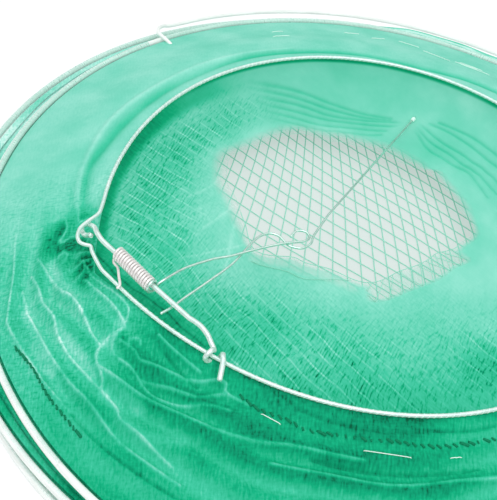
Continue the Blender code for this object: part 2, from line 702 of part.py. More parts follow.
def add_closing_gear(steel, thread):
    wire("pivot_rod", rod_points(), ROD_WIRE, steel)
    spring = wire("torsion_spring", spring_points(), SPRING_WIRE, steel)
    leg = wire("spring_leg", leg_points(), SPRING_WIRE, steel)
    wire("closing_arm", arm_points(), ARM_WIRE, steel)
    wire("arm_tip_tie", tie_points(arm_points()), TIE_THREAD, thread, closed=True, resolution=0)
    for item, points in ((spring, spring_points()), (leg, leg_points())):
        print(f"{item.name}: least gap to itself {least_gap(points, SPRING_WIRE, 5) / MM:.2f} mm")


def build():
    white = principled("white_coated_wire", (0.80, 0.80, 0.79), 0.38)
    steel = principled("plated_wire", (0.74, 0.75, 0.75), 0.30, 1.0)
    mint = principled("mint_net", (0.20, 0.62, 0.46), 0.62)
    coarse = principled("coarse_net", (0.36, 0.70, 0.60), 0.55)
    thread = principled("mint_thread", (0.30, 0.66, 0.54), 0.60)
    add_rings(white, steel)
    add_nets(mint, coarse)
    add_hems(mint)
    add_threads(thread)
    add_closing_gear(steel, thread)
    wire("carrying_handle", handle_points(), HANDLE_WIRE, white)


clear_scene()
BASKET = new_collection("fish_keeper_basket")
CUTTERS = new_collection("cutters")
build()
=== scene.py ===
"""Looks of the folding fish keeper basket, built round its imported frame."""
import math

import bpy
import numpy as np
from mathutils import Matrix, Vector, noise


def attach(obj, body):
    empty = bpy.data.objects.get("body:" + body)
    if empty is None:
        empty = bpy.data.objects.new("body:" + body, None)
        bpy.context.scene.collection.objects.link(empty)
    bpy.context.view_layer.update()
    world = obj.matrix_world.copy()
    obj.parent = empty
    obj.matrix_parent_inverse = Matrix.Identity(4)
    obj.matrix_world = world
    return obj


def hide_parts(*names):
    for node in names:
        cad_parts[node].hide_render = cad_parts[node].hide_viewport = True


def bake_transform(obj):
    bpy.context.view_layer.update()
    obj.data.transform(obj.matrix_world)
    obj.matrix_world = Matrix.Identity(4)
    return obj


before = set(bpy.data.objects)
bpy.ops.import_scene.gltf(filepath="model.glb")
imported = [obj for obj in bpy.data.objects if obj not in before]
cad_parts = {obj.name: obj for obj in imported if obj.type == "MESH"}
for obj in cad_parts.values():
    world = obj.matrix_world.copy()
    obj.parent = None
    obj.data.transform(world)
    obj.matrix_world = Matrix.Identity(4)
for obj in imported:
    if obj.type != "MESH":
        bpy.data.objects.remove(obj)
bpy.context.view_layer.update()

MM = 0.001
UP = np.array([0.0, 0.0, 1.0])

# Sizes of the frame's wires and nets, as the CAD has them
BODY_RING_RADIUS = 200 * MM
BODY_WIRE = 3.2 * MM
MOUTH_WIRE = 2.0 * MM
TOUCH_GAP = 0.3 * MM
HEM_THICKNESS = 0.5 * MM
NET_THICKNESS = 0.6 * MM
NET_INSET = BODY_WIRE / 2 + 2 * TOUCH_GAP + HEM_THICKNESS
NET_RADIUS = BODY_RING_RADIUS - NET_INSET
NET_EDGE_RISE = NET_THICKNESS / 2 + 1.5 * TOUCH_GAP
BASE_CENTRE = np.array([0, 0, 1.6]) * MM
MIDDLE_CENTRE = np.array([-5.6, 6.1, 7.3]) * MM
UPPER_CENTRE = np.array([7.2, 4.9, 12.5]) * MM
MOUTH_CENTRE = np.array([3.0, 5.3, 44.2]) * MM
RING_LAP = math.radians(15)
LAP_BEND = math.radians(7.5)
UPPER_LAP_TILT = math.radians(20)
BASE_LAP_AT = math.radians(60)
MIDDLE_LAP_AT = math.radians(187.5)
UPPER_LAP_AT = math.radians(232.5)
LAP_OFFSET = BODY_WIRE + TOUCH_GAP

# The photo's camera, solved from the outlines of the rings
CAMERA_PLACE = (-0.059143, -0.357160, 0.375889)
CAMERA_RIGHT = np.array([0.97683, 0.15551, 0.14701])
CAMERA_UP = np.array([-0.21400, 0.70985, 0.67106])
CAMERA_BACK = np.array([0, -0.68697, 0.72669])

# The mouth ring's outline
MOUTH_RING_RADIUS = 117.5 * MM
MOUTH_OVAL = 1.2 * MM
MOUTH_CORNER_REACH = 29.4 * MM
MOUTH_CORNER_AT = math.radians(211)
MOUTH_CORNER_SPREAD = 0.65
POCKET_FROM = math.radians(-13.5)
POCKET_TO = math.radians(3.5)

# How the cloth leaves the mouth ring, and where it dips to pass under the hinge
CLOTH_UNDER_RING = 0.25 * MM
DIP_AT = MOUTH_CORNER_AT - math.radians(6)
DIP_DEPTH = 6.4 * MM
DIP_HALF_WIDTH = math.radians(11)

# The hinge on the mouth ring, with its rod, spring and arm
ROD_WIRE = 2.3 * MM
ROD_DIRECTION = math.radians(-35.1)
ROD_FROM_CORNER = 21.0 * MM
ROD_INSIDE_CORNER = 7.5 * MM
ROD_ABOVE_RING = 5.0 * MM
ROD_STRAIGHT_TO = 30 * MM
ROD_WRAP_AT = 49.1 * MM
ROD_WRAP_REACH = 4.6 * MM
ROD_TAIL = 9 * MM
WRAP_RADIUS = (MOUTH_WIRE + ROD_WIRE) / 2 + 0.5 * MM
UNDER_POCKET = -(MOUTH_WIRE + ROD_WIRE) / 2 - TOUCH_GAP
SPRING_WIRE = 1.05 * MM
SPRING_COIL_RADIUS = 2.75 * MM
SPRING_LENGTH = 22.8 * MM
SPRING_TURNS = 15
SPRING_FROM = -16.3 * MM
SPRING_LEAN = 0.6 * MM
SPRING_FOOT_AT = -3.6 * MM
SPRING_PITCH = SPRING_LENGTH / SPRING_TURNS
LEG_GAP_TURN = 0.1
LEG_TURNS = 1.18
STEPS_PER_TURN = 24
LEG_BLENDS_WITHIN = 60 * MM
ARM_WIRE = 1.0 * MM
ARM_DROOP = math.radians(6.6)
ARM_TIP_ALONG = -7.0 * MM
ARM_TIP_FROM_RING = 13.4 * MM
ARM_MEETS_RING_AT = math.radians(82)
TIE_THREAD = 0.6 * MM
TIE_FROM_TIP = 3 * MM
TIE_TURNS = 5
TIE_PITCH = 0.62 * MM

# Wires as thick as the photo shows them
SHOWN_COIL_WIRE = 1.25 * MM
SHOWN_ARM_WIRE = 1.2 * MM
SHOWN_MOUTH_WIRE = 1.75 * MM

# The rod's turns round the ring: degrees round it from its inner side, and millimetres along it
ROD_WRAP = (
    (25, -1.9), (60, -1.9), (95, -2.1), (135, -2.6), (175, -2.9), (215, -2.3), (255, -0.8), (295, 0.8),
    (335, 1.7), (375, 2.2), (415, 2.9), (450, 3.7), (475, 4.6),
)

# The carrying handle
HANDLE_WIRE = 2.2 * MM
HANDLE_RADIUS = 210 * MM
BAIL_OFFSET = HANDLE_RADIUS - BODY_RING_RADIUS
BAIL_START = math.radians(5)
FAR_EYE_AT = math.radians(137.6)
NEAR_EYE_AT = FAR_EYE_AT - math.pi
FAR_EYE_REACH = 12 * MM
NEAR_EYE_REACH = 6 * MM
EYE_LEAN = math.radians(42)
EYE_END = 2.5 * MM
EYE_HALF_WIDTH = ((BODY_WIRE + HANDLE_WIRE) / 2 + 1.1 * TOUCH_GAP) / math.sin(EYE_LEAN)

# The sleeve's depth and the outline of its hole
SLEEVE_DEPTH = 29 * MM
SLEEVE_STEEPNESS = 0.58
SLEEVE_HOLE_CENTRE = np.array([-12.6, 29, 0]) * MM
SLEEVE_HOLE = (
    (2, 62), (20, 66), (39, 61), (50, 52), (62, 48), (85, 48), (110, 52), (130, 61), (155, 66), (168, 72),
    (182, 70), (197, 66), (212, 66), (226, 68), (244, 55), (261, 52), (281, 56), (305, 50), (329, 51),
    (345, 58),
)

# Creases of the shoulder, each by degrees round the mouth and millimetres out from its ring
SHOULDER_CREASES = (
    ((206, 7), (209.5, 3), (213.5, 1.5), (220.5, 2.2), (223, 6.7), (223.8, 13.9), (225.5, 19),
     (229, 19.4), (231, 20.5), (235, 23.9), (239.5, 21.6), (243, 17), (247, 15)),
    ((211, 5), (218, 5.8), (222.8, 8), (223.8, 11), (223.2, 17), (224.5, 25), (227.5, 29), (228.8, 32.6),
     (232.2, 34.4), (234, 37.6), (238, 38.5), (243.8, 42.2)),
    ((202, 27.4), (206, 21.5), (211, 15), (213, 13.7), (217, 15.7), (220.3, 18.7), (223.4, 20.2)),
    ((204.8, 29.4), (209, 25), (213.8, 24.2), (217, 27.7), (221, 30.6), (224.5, 31.6), (230.3, 33)),
    ((207, 33), (211, 31), (215, 33), (219, 35.8), (225, 38.6), (229, 39.5), (236, 44), (246, 47)),
    ((226, 27), (229.2, 26.2), (235, 26.2), (240.8, 24.2), (246.5, 22.7), (252.8, 21), (260, 18.2),
     (270, 18.2)),
    ((225, 14.5), (228, 14.2), (230, 15.8), (233, 13.8), (239, 11), (242.2, 6.8), (243.8, 6.5),
     (244.8, 9.4), (249, 10)), ((226.5, 13.6), (226, 11.5), (227, 9.5), (228, 10.8)),
    ((229, 3.9), (232, 5.2), (235, 6.1), (239, 7.4)),
    ((232, 21.4), (236.5, 18.4), (241, 16.3), (243, 12.5), (244.5, 10.2)),
    ((196, 40), (204, 38), (213, 41), (220, 43.5), (228, 46)),
    ((256, 27), (264, 25), (275, 26), (286, 24), (300, 26)),
)
SHOULDER_FOLDS = (
    ((246, 0.5), (250, 0.9), (254, 2.4), (258, 4.8), (263, 6), (270, 6.4), (276, 6.1), (283, 5.2),
     (292, 5.8), (318, 4)), ((221, 43.1), (226.5, 45.4), (232.8, 48.4), (238, 50), (248, 52)),
    ((232, 8), (236, 10.5), (240, 12.5)), ((262, 21), (274, 21.5), (290, 20)),
)
FAR_GROOVE = (
    (194, 10), (188, 13.4), (183, 15), (178.5, 13.2), (169, 12), (155, 11.6), (143, 11.5), (136, 13),
    (126, 14), (115, 13), (100, 14), (92, 13), (84.5, 12.5), (77.5, 16), (72, 19), (60, 20), (40, 16),
    (10, 12), (-14, 8),
)
FAR_RIDGE = (
    (194, 12.5), (188, 15.6), (182, 17.6), (172, 20.2), (165, 20.6), (152, 19), (135, 18.6), (118, 16.5),
)
MOUTH_SEAM = (
    (247, 8), (250, 9.5), (256, 9.6), (260, 11), (266, 9.8), (271, 10), (275, 9.4), (283, 10.9),
    (290, 10.6), (322, 9),
)
OUTER_SEAM = ((215, 43.2), (219.5, 43.8), (223.8, 47), (227.5, 48.7), (231.8, 50.9))
SHOULDER_PALE = (
    ((222.5, 9), (223.5, 14.4), (223.5, 20.7), (225, 24.6), (227, 26.2), (229.5, 27.3), (232, 28.3),
     (235, 30)),
    ((229.5, 32.9), (232, 33.7), (234, 36.6), (236, 37.2), (238.5, 37.1), (240.5, 35.6), (243, 33)),
    ((209, 26), (212.5, 23.6), (216, 24.4), (219.5, 26.3), (223, 27.5), (226, 29.5)),
    ((210.5, 30.8), (214, 33.4), (217.5, 36.3), (221.5, 39)),
    ((204.5, 20.9), (208.5, 15.4), (212.5, 13.1), (216, 14.9)),
)
SHOULDER_DEEP = (
    ((211, 6.7), (215.5, 10.4), (219, 12.6), (221, 13.9)),
    ((224.8, 13), (227.5, 17.5), (231, 19.5), (234.5, 19.7), (239, 17.6), (243, 13)),
    ((227, 42), (231, 43.6), (234.5, 45.3), (238, 46.2), (240.5, 49.1)),
    ((225, 52), (229, 55), (233, 57)), ((213.5, 21), (217.5, 23), (220.5, 22.6), (223, 24)),
)
# Short pale strokes on the shoulder; those on the far side are painted glints on the fold crests
PALE_STROKES = (
    ((251.5, 10.8), (255.2, 11.9)), ((269.8, 14.2), (278, 15.5)), ((285, 15.4), (287.2, 15.3)),
    ((117, 55), (114.6, 55.8)), ((118.6, 41.7), (114.8, 41.9)), ((101.7, 57.5), (98.6, 58.5)),
    ((96.2, 52.8), (93.3, 57)), ((90.4, 60), (86.1, 56.8)), ((85.1, 50.9), (78.9, 44)),
    ((77, 50), (72, 50.5)), ((78, 47.6), (73, 48.1)), ((76.5, 45.5), (70, 46)),
)

# Folds of the sleeve, each by degrees round the mouth and its share of the way in to the hole
FAR_FOLDS = (
    ((134.5, 0.08), (126, 0.18), (117, 0.29), (107, 0.42), (96, 0.49), (85, 0.46)),
    ((135, 0.13), (126.5, 0.26), (117.5, 0.38), (107, 0.5), (95.5, 0.54), (84.5, 0.48)),
    ((135.5, 0.19), (127.5, 0.35), (118, 0.47), (107, 0.59), (95, 0.58), (84, 0.5), (80, 0.47)),
    ((136.5, 0.25), (128.5, 0.45), (119, 0.58), (107, 0.66), (94.5, 0.64), (83, 0.56), (80, 0.5)),
    ((137.5, 0.32), (130, 0.55), (120, 0.71), (107, 0.76), (93.5, 0.72), (83.5, 0.65)),
    ((139, 0.4), (133.5, 0.59), (124, 0.81), (107.5, 0.86), (92.5, 0.81), (84, 0.73)),
)
RIGHT_FOLDS = (
    ((75.5, 0.4), (66.5, 0.48), (59, 0.51), (48, 0.52), (30, 0.56)),
    ((74.5, 0.46), (66, 0.56), (56.5, 0.59), (43.5, 0.63), (28, 0.66)),
    ((76.5, 0.46), (65, 0.64), (55.5, 0.69), (46.5, 0.7), (39, 0.72), (25, 0.78)),
    ((72, 0.36), (64, 0.36), (55, 0.38), (40, 0.42)), ((70, 0.31), (64, 0.30), (58, 0.29), (44, 0.31)),
)
LEFT_WRINKLES = (
    ((199.5, 0.48), (206.5, 0.59), (204, 0.8), (200, 1.0)), ((212, 0.5), (216, 0.75), (221, 0.95)),
    ((190, 0.6), (186, 0.85), (180, 0.98)), ((228, 0.55), (222, 0.8), (210, 0.96)),
)

# Painted shade under the rod, in the sleeve between it and the ring, and the rod's painted shadow there,
# given like the folds
ROD_HOLLOW_SHADE = (
    (204, 0.0), (207, 0.05), (211, 0.09), (216, 0.12), (221, 0.14), (226, 0.14), (231, 0.13), (237, 0.1),
)
ROD_SHADOW = (
    (206.5, 0.02), (209.5, 0.1), (213, 0.13), (216.5, 0.13), (219, 0.15), (222, 0.16), (225.5, 0.17),
    (229.5, 0.14), (232.5, 0.13), (235.5, 0.1),
)

# Where the sleeve's net grows thin, and where it ends, as shares of the way in
SHEER_FROM = (
    (0, 0.9), (13.5, 0.96), (22, 1.03), (38.5, 0.96), (59.5, 0.80), (72.5, 0.79), (85, 0.78), (100, 0.79),
    (114, 0.74), (126.5, 0.74), (133, 0.72), (141.5, 0.76), (150, 0.78), (157, 0.71), (161.5, 0.69),
    (172, 0.78), (182, 0.85), (192, 0.9), (203.5, 0.93), (213.5, 0.94), (226, 0.95), (345, 0.95),
    (352, 0.92),
)
SLEEVE_END = (
    (0, 0.98), (4, 0.98), (10.5, 1.10), (23.5, 1.22), (35, 1.14), (47, 1.07), (63, 1.04), (79.5, 1.04),
    (98.5, 1.08), (121.5, 1.12), (135.5, 1.05), (152, 1.1), (160, 1.06), (172, 1.01), (183, 1.01),
    (192, 1.03), (203, 1.04), (213, 1.03), (226, 1.0), (340, 1.0), (347, 0.99), (355, 0.96),
)


# Curves and frames


def unit(v):
    return v / np.linalg.norm(v, axis=-1, keepdims=True)


def flat(angle):
    angle = np.asarray(angle, float)
    return np.stack([np.cos(angle), np.sin(angle), np.zeros_like(angle)], -1)


def mix(low, high, share):
    return low + (high - low) * share


def bell(value, middle, width):
    return np.exp(-(((value - middle) / width) ** 2))


def step(value, low, high):
    """0 up to low, 1 from high, and smooth between."""
    t = np.clip((value - low) / (high - low), 0, 1)
    return t * t * (3 - 2 * t)


def turn_from(angle, middle):
    """The angle from middle to angle, between minus and plus half a turn."""
    return (np.asarray(angle) - middle + math.pi) % (2 * math.pi) - math.pi


def smooth_path(points, steps):
    """Points on a Catmull-Rom curve through the given points."""
    points = [np.asarray(p, float) for p in points]
    path = []
    for i in range(len(points) - 1):
        a, b, c = points[max(i - 1, 0)], points[i], points[i + 1]
        d = points[min(i + 2, len(points) - 1)]
        for t in np.arange(steps) / steps:
            bend = (c - a) * t + (2 * a - 5 * b + 4 * c - d) * t**2 + (3 * b - a - 3 * c + d) * t**3
            path.append(b + bend / 2)
    return path + [points[-1]]


def about(centre, angles, radius, rise=0.0):
    """Points at some angles, radii and heights about a centre."""
    return centre + flat(angles) * np.asarray(radius)[..., None] + UP * np.asarray(rise)[..., None]


def mouth_radius(angle):
    corner = MOUTH_CORNER_REACH * np.exp(-np.abs(turn_from(angle, MOUTH_CORNER_AT)) / MOUTH_CORNER_SPREAD)
    return MOUTH_RING_RADIUS + MOUTH_OVAL * np.cos(2 * np.asarray(angle)) + corner


def on_mouth_ring(angle, rise=0.0):
    return about(MOUTH_CENTRE, angle, mouth_radius(angle), rise)


ALONG_ROD = flat(ROD_DIRECTION)
ACROSS_ROD = np.cross(UP, ALONG_ROD)
ALONG_ARM = ACROSS_ROD * math.cos(ARM_DROOP) - UP * math.sin(ARM_DROOP)
ABOVE_ARM = np.cross(ALONG_ROD, ALONG_ARM)
HINGE = (
    on_mouth_ring(MOUTH_CORNER_AT) + ALONG_ROD * ROD_FROM_CORNER + ACROSS_ROD * ROD_INSIDE_CORNER
    + UP * ROD_ABOVE_RING
)


def by_rod(along, across, above_ring=ROD_ABOVE_RING):
    return HINGE + ALONG_ROD * along + ACROSS_ROD * across + UP * (above_ring - ROD_ABOVE_RING)


def by_arm(along, out, above):
    return HINGE + ALONG_ROD * along + ALONG_ARM * out + ABOVE_ARM * above


def ring_angle_at(along):
    """The angle at which the mouth ring, past its corner, lies at this distance along the rod."""
    low, high = MOUTH_CORNER_AT, MOUTH_CORNER_AT + math.pi / 2
    for _ in range(40):
        middle = (low + high) / 2
        if (on_mouth_ring(middle) - HINGE) @ ALONG_ROD < along:
            low = middle
        else:
            high = middle
    return low


WRAP_ANGLE = ring_angle_at(ROD_WRAP_AT)
ARM_REACH = (on_mouth_ring(ARM_MEETS_RING_AT) - HINGE) @ ACROSS_ROD - ARM_TIP_FROM_RING


# Meshes


class Shape:
    """Points, faces and UVs of one piece, gathered grid by grid."""

    def __init__(self):
        self.points, self.faces, self.uvs, self.values, self.count = [], [], [], {}, 0

    def grid(self, points, uv, around=False, closed=False, caps=False, **values):
        """Rows of points. around joins each row's ends, and closed joins the last row to the first."""
        rows, cols = points.shape[:2]
        last_row, last_col = rows if closed else rows - 1, cols if around else cols - 1
        i, j = np.meshgrid(np.arange(last_row), np.arange(last_col), indexing="ij")
        i2, j2 = (i + 1) % rows, (j + 1) % cols
        corners = [(i, j, i, j), (i2, j, i + 1, j), (i2, j2, i + 1, j + 1), (i, j2, i, j + 1)]
        quads = np.stack([a * cols + b for a, b, _, _ in corners], -1).reshape(-1, 4)
        self.faces += (quads + self.count).tolist()
        self.uvs += np.stack([uv[a, b] for _, _, a, b in corners], -2).reshape(-1, 2).tolist()
        if caps:
            for row, order in ((0, 1), (rows - 1, -1)):
                self.faces.append((self.count + row * cols + np.arange(cols))[::order].tolist())
                self.uvs += uv[row, :cols][::order].tolist()
        self.points.append(points.reshape(-1, 3))
        for name, value in values.items():
            self.values.setdefault(name, []).append(np.broadcast_to(value, (rows, cols)).ravel())
        self.count += rows * cols

    def build(self, name, material):
        mesh = bpy.data.meshes.new(name)
        mesh.from_pydata(np.concatenate(self.points).tolist(), [], self.faces)
        layer = mesh.uv_layers.new(name="weave")
        layer.data.foreach_set("uv", np.array(self.uvs, np.float32).ravel())
        for key, parts in self.values.items():
            attribute = mesh.attributes.new(key, "FLOAT", "POINT")
            attribute.data.foreach_set("value", np.concatenate(parts).astype(np.float32))
        mesh.materials.append(material)
        mesh.shade_smooth()
        item = bpy.data.objects.new(name, mesh)
        bpy.context.scene.collection.objects.link(item)
        return item


def frames_along(path, closed):
    """The direction, and two directions square to it, at each point of a path, without twist."""
    if closed:
        ahead = np.roll(path, -1, 0) - np.roll(path, 1, 0)
    else:
        ahead = np.gradient(path, axis=0)
    ahead = unit(ahead)
    side = np.cross(ahead[0], UP if abs(ahead[0][2]) < 0.9 else np.array([1.0, 0, 0]))
    sides = [side / np.linalg.norm(side)]
    for tangent in ahead[1:]:
        side = sides[-1] - tangent * (sides[-1] @ tangent)
        sides.append(side / np.linalg.norm(side))
    sides = np.array(sides)
    if closed:
        over = np.cross(ahead[0], sides[0])
        last = sides[-1] - ahead[0] * (sides[-1] @ ahead[0])
        slip = math.atan2(last @ over, last @ sides[0])
        back = -slip * np.arange(len(path)) / len(path)
        overs = np.cross(ahead, sides)
        sides = sides * np.cos(back)[:, None] + overs * np.sin(back)[:, None]
    return ahead, sides, np.cross(ahead, sides)


def add_tube(shape, path, diameter, sides, closed=False, round_ends=True):
    """A round wire or thread along a path. Its UV is in millimetres along it and round it."""
    path = np.asarray(path, float)
    ahead, side, over = frames_along(path, closed)
    radii = np.full(len(path), diameter / 2)
    if not closed and round_ends:
        bevel, end_radius = 0.18 * diameter, 0.30 * diameter
        path = np.concatenate([[path[0]], [path[0] + ahead[0] * bevel], path[1:-1],
                               [path[-1] - ahead[-1] * bevel], [path[-1]]])
        side = np.concatenate([side[:1], side, side[-1:]])
        over = np.concatenate([over[:1], over, over[-1:]])
        radii = np.concatenate([[end_radius], radii, [end_radius]])
    turns = 2 * math.pi * np.arange(sides) / sides
    ring = side[:, None] * np.cos(turns)[None, :, None] + over[:, None] * np.sin(turns)[None, :, None]
    points = path[:, None] + ring * radii[:, None, None]
    steps = np.linalg.norm(np.diff(path, axis=0), axis=1)
    along = np.concatenate([[0], np.cumsum(steps)])
    if closed:
        along = np.append(along, along[-1] + np.linalg.norm(path[0] - path[-1]))
    round_it = np.arange(sides + 1) / sides * math.pi * diameter
    uv = np.stack(np.meshgrid(along, round_it, indexing="ij"), -1) / MM
    shape.grid(points, uv, around=True, closed=closed, caps=not closed)


def wire(name, path, diameter, material, sides, closed=False):
    shape = Shape()
    add_tube(shape, path, diameter, sides, closed)
    return shape.build(name, material)


def dress(item, slot, *nodes):
    """The piece stands for CAD nodes, which it hides. Its slot is not used."""
    if nodes:
        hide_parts(*nodes)
    return item


def settle(item, body, slot, *nodes):
    """The piece rides on a body, and is dressed as above."""
    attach(item, body)
    return dress(item, slot, *nodes)


# Materials


class Nodes:
    """A short way to write the nodes of a material or of the world."""

    def __init__(self, owner):
        owner.use_nodes = True
        self.owner, self.tree = owner, owner.node_tree
        self.shader = self.tree.nodes.get("Principled BSDF")

    def node(self, kind, inputs=(), **settings):
        made = self.tree.nodes.new(kind)
        for key, value in settings.items():
            setattr(made, key, value)
        for key, value in dict(inputs).items():
            self.feed(made.inputs[key], value)
        return made

    def feed(self, socket, value):
        if isinstance(value, bpy.types.NodeSocket):
            self.tree.links.new(value, socket)
        else:
            socket.default_value = value

    def math(self, operation, a, b=0.0, clamp=False):
        made = self.node("ShaderNodeMath", {0: a, 1: b}, operation=operation, use_clamp=clamp)
        return made.outputs[0]

    def times(self, a, b):
        return self.math("MULTIPLY", a, b)

    def waves(self, value, pitch):
        return self.math("COSINE", self.times(value, 2 * math.pi / pitch))

    def times_plus(self, a, factor, plus):
        made = self.node("ShaderNodeMath", {0: a, 1: factor, 2: plus}, operation="MULTIPLY_ADD")
        return made.outputs[0]

    def ramp(self, value, low, high, to_low=0.0, to_high=1.0, smooth=True):
        kind = "SMOOTHSTEP" if smooth else "LINEAR"
        limits = {"Value": value, "From Min": low, "From Max": high, "To Min": to_low, "To Max": to_high}
        return self.node("ShaderNodeMapRange", limits, interpolation_type=kind).outputs["Result"]

    def mix_colour(self, factor, a, b):
        made = self.node("ShaderNodeMix", data_type="RGBA")
        for key, value in (("Factor", factor), (6, a), (7, b)):
            self.feed(made.inputs[key], value)
        return made.outputs[2]

    def noise(self, vector, scale, detail=3.0):
        kind = {"Vector": vector, "Scale": scale, "Detail": detail, "Roughness": 0.55}
        return self.node("ShaderNodeTexNoise", kind).outputs["Fac"]

    def uv(self):
        return self.node("ShaderNodeUVMap", uv_map="weave").outputs[0]

    def scaled(self, vector, x, y, z=1.0):
        made = self.node("ShaderNodeVectorMath", {0: vector, 1: (x, y, z)}, operation="MULTIPLY")
        return made.outputs[0]

    def bump(self, height, strength, distance):
        made = self.node("ShaderNodeBump", {"Strength": strength, "Distance": distance, "Height": height})
        self.tree.links.new(made.outputs[0], self.shader.inputs["Normal"])

    def set(self, **values):
        for key, value in values.items():
            self.feed(self.shader.inputs[key.replace("_", " ")], value)


def rgb(red, green, blue):
    """A colour written as it shows, from 0 to 255, for a shader's linear socket."""
    return tuple(c / 12.92 if c <= 0.04045 else ((c + 0.055) / 1.055) ** 2.4 for c in
                 (red / 255, green / 255, blue / 255)) + (1.0,)


def coated_wire():
    """White plastic coating, faintly uneven, with dull scuffs."""
    n = Nodes(bpy.data.materials.new("coated_wire"))
    place = n.uv()
    long_marks = n.noise(n.scaled(place, 0.05, 0.5), 1.0)
    specks = n.noise(place, 1.6, 4.0)
    colour = n.mix_colour(n.ramp(long_marks, 0.35, 0.7), rgb(222, 224, 222), rgb(238, 239, 237))
    colour = n.mix_colour(n.ramp(specks, 0.62, 0.75, 0.0, 0.35), colour, rgb(186, 192, 188))
    # Its faint mint emission is painted light, which lifts the coating's shadows
    n.set(Base_Color=colour, Roughness=n.ramp(specks, 0.3, 0.7, 0.3, 0.48), Coat_Weight=0.15,
          Emission_Color=(0.86, 1.0, 0.95, 1), Emission_Strength=0.14)
    n.bump(n.noise(n.scaled(place, 0.3, 1.0), 1.0), 0.25, 0.0002)
    return n.owner


def plated_wire(name, dull, bright, metal):
    """Drawn steel wire with bright zinc plating."""
    n = Nodes(bpy.data.materials.new(name))
    place = n.uv()
    drawn = n.noise(n.scaled(place, 0.06, 6.0), 1.0, 4.0)
    blotch = n.noise(place, 0.35, 3.0)
    colour = n.mix_colour(n.ramp(blotch, 0.35, 0.7), dull, bright)
    n.set(Base_Color=colour, Roughness=n.ramp(drawn, 0.25, 0.75, 0.22, 0.36), Metallic=metal)
    n.bump(drawn, 0.2, 0.00008)
    return n.owner


def thread_material(name, light, dark, lay, painted_glow):
    """Twisted thread, whose lay shows as slanting bands some millimetres apart."""
    n = Nodes(bpy.data.materials.new(name))
    place = n.uv()
    parts = n.node("ShaderNodeSeparateXYZ", {0: place})
    twist = n.times_plus(n.waves(n.math("ADD", parts.outputs[0], parts.outputs[1]), lay), 0.5, 0.5)
    colour = n.mix_colour(twist, dark, light)
    # The emission is painted light, which lifts the thread's shadows
    n.set(Base_Color=colour, Roughness=0.6, Specular_IOR_Level=0.15,
          Emission_Color=colour, Emission_Strength=painted_glow)
    n.bump(twist, 0.5, 0.0001)
    return n.owner


# The knit's wales, its rows and the lines pulled in it, by their distance in millimetres
WALE_PITCH = 1.7
ROW_PITCH = 1.45
PULLED_LINE_PITCH = 5.2

# The knit's colour by its tone from 0 to 1, from a single layer to many, and darker still where shade is
# painted in
NET_TONES = (
    (0, (206, 243, 234)), (0.08, (166, 231, 216)), (0.28, (118, 212, 188)), (0.5, (66, 196, 160)),
    (0.75, (10, 172, 124)), (0.93, (0, 134, 96)), (1, (0, 92, 62)),
)


def net_material():
    """Fine knitted net. Each point gives its tone of layers and painted shade, painted highlights on fold
    crests, sheerness, ladders and grain.
    """
    n = Nodes(bpy.data.materials.new("fine_net_knit"))
    place = n.uv()
    wander = n.node("ShaderNodeTexNoise", {"Vector": place, "Scale": 0.045, "Detail": 2.0})
    pull = n.scaled(wander.outputs["Color"], 4, 4, 0)
    place = n.node("ShaderNodeVectorMath", {0: place, 1: pull}).outputs[0]
    parts = n.node("ShaderNodeSeparateXYZ", {0: place})
    across, along = parts.outputs[0], parts.outputs[1]
    deep, crest, sheer, ladder, grain = (
        n.node("ShaderNodeAttribute", attribute_name=name).outputs["Fac"]
        for name in ("deep", "crest", "sheer", "ladder", "grain"))
    strokes, rungs, clouds = (
        n.times_plus(n.noise(spot, scale, detail), 1.0, -0.5)
        for spot, scale, detail in ((n.scaled(place, 1.0, 0.32), 1.0, 2.0),
                                    (n.scaled(place, 0.3, 1.0), 1.0, 2.0), (place, 0.04, 3.0)))
    knit = n.times_plus(n.waves(across, WALE_PITCH), 0.022, n.times(strokes, 0.55))
    tone = n.times_plus(knit, grain, n.times_plus(clouds, 0.32, deep))
    tone = n.times_plus(n.times(rungs, n.times(grain, 0.25)), 1.0, tone)
    tone = n.times_plus(n.times(n.ramp(rungs, 0.0, 0.2), ladder), 0.3, tone)
    bar = n.ramp(n.waves(along, ROW_PITCH), -0.1, 0.9)
    patch = n.ramp(n.noise(n.scaled(place, 0.13, 0.06), 1.0, 2.0), 0.47, 0.6)
    line = n.times(n.ramp(n.waves(across, PULLED_LINE_PITCH), 0.84, 0.99), n.times_plus(patch, 0.5, 0.5))
    rows = n.times(ladder, ladder)
    tone = n.times_plus(n.times(n.times(bar, patch), rows), 0.2, tone)
    tone = n.times_plus(n.times(line, rows), -0.22, tone)
    # Painted highlights lighten the fold crests
    tone = n.times_plus(crest, -0.55, tone)
    colours = n.node("ShaderNodeValToRGB", {0: tone})
    stops = colours.color_ramp.elements
    for at, colour in NET_TONES:
        stop = stops[0] if at == 0 else stops[-1] if at == 1 else stops.new(at)
        stop.color = rgb(*colour)
    thin = n.times(sheer, n.ramp(strokes, -0.2, 0.2, 1.0, 0.86))
    n.set(Base_Color=colours.outputs[0], Roughness=0.7, Alpha=n.math("SUBTRACT", 1.0, thin, clamp=True),
          Specular_IOR_Level=0.08)
    n.bump(n.times(n.math("ADD", strokes, rungs), grain), 0.3, 0.0003)
    return n.owner


COATED = coated_wire()
SPRING_PLATED = plated_wire("plated_spring_wire", rgb(238, 231, 230), rgb(252, 247, 246), 0.25)
# The ring and arm wires' mint tint is a painted reflection of the green net
RING_PLATED = plated_wire("plated_ring_wire", rgb(212, 238, 230), rgb(234, 249, 244), 0.4)
ARM_PLATED = plated_wire("plated_arm_wire", rgb(206, 240, 229), rgb(234, 252, 245), 0.75)
FINE_NET = net_material()
# Each thread's last number is the strength of its painted light
COARSE_THREAD = thread_material("coarse_net_thread", rgb(158, 213, 196), rgb(122, 196, 174), 0.8, 0.26)
SEAM_THREAD = thread_material("seam_thread", rgb(6, 140, 98), rgb(0, 104, 72), 0.7, 0.1)
PALE_THREAD = thread_material("pale_thread", rgb(236, 250, 245), rgb(196, 234, 222), 0.7, 0.15)


# Rings and handle


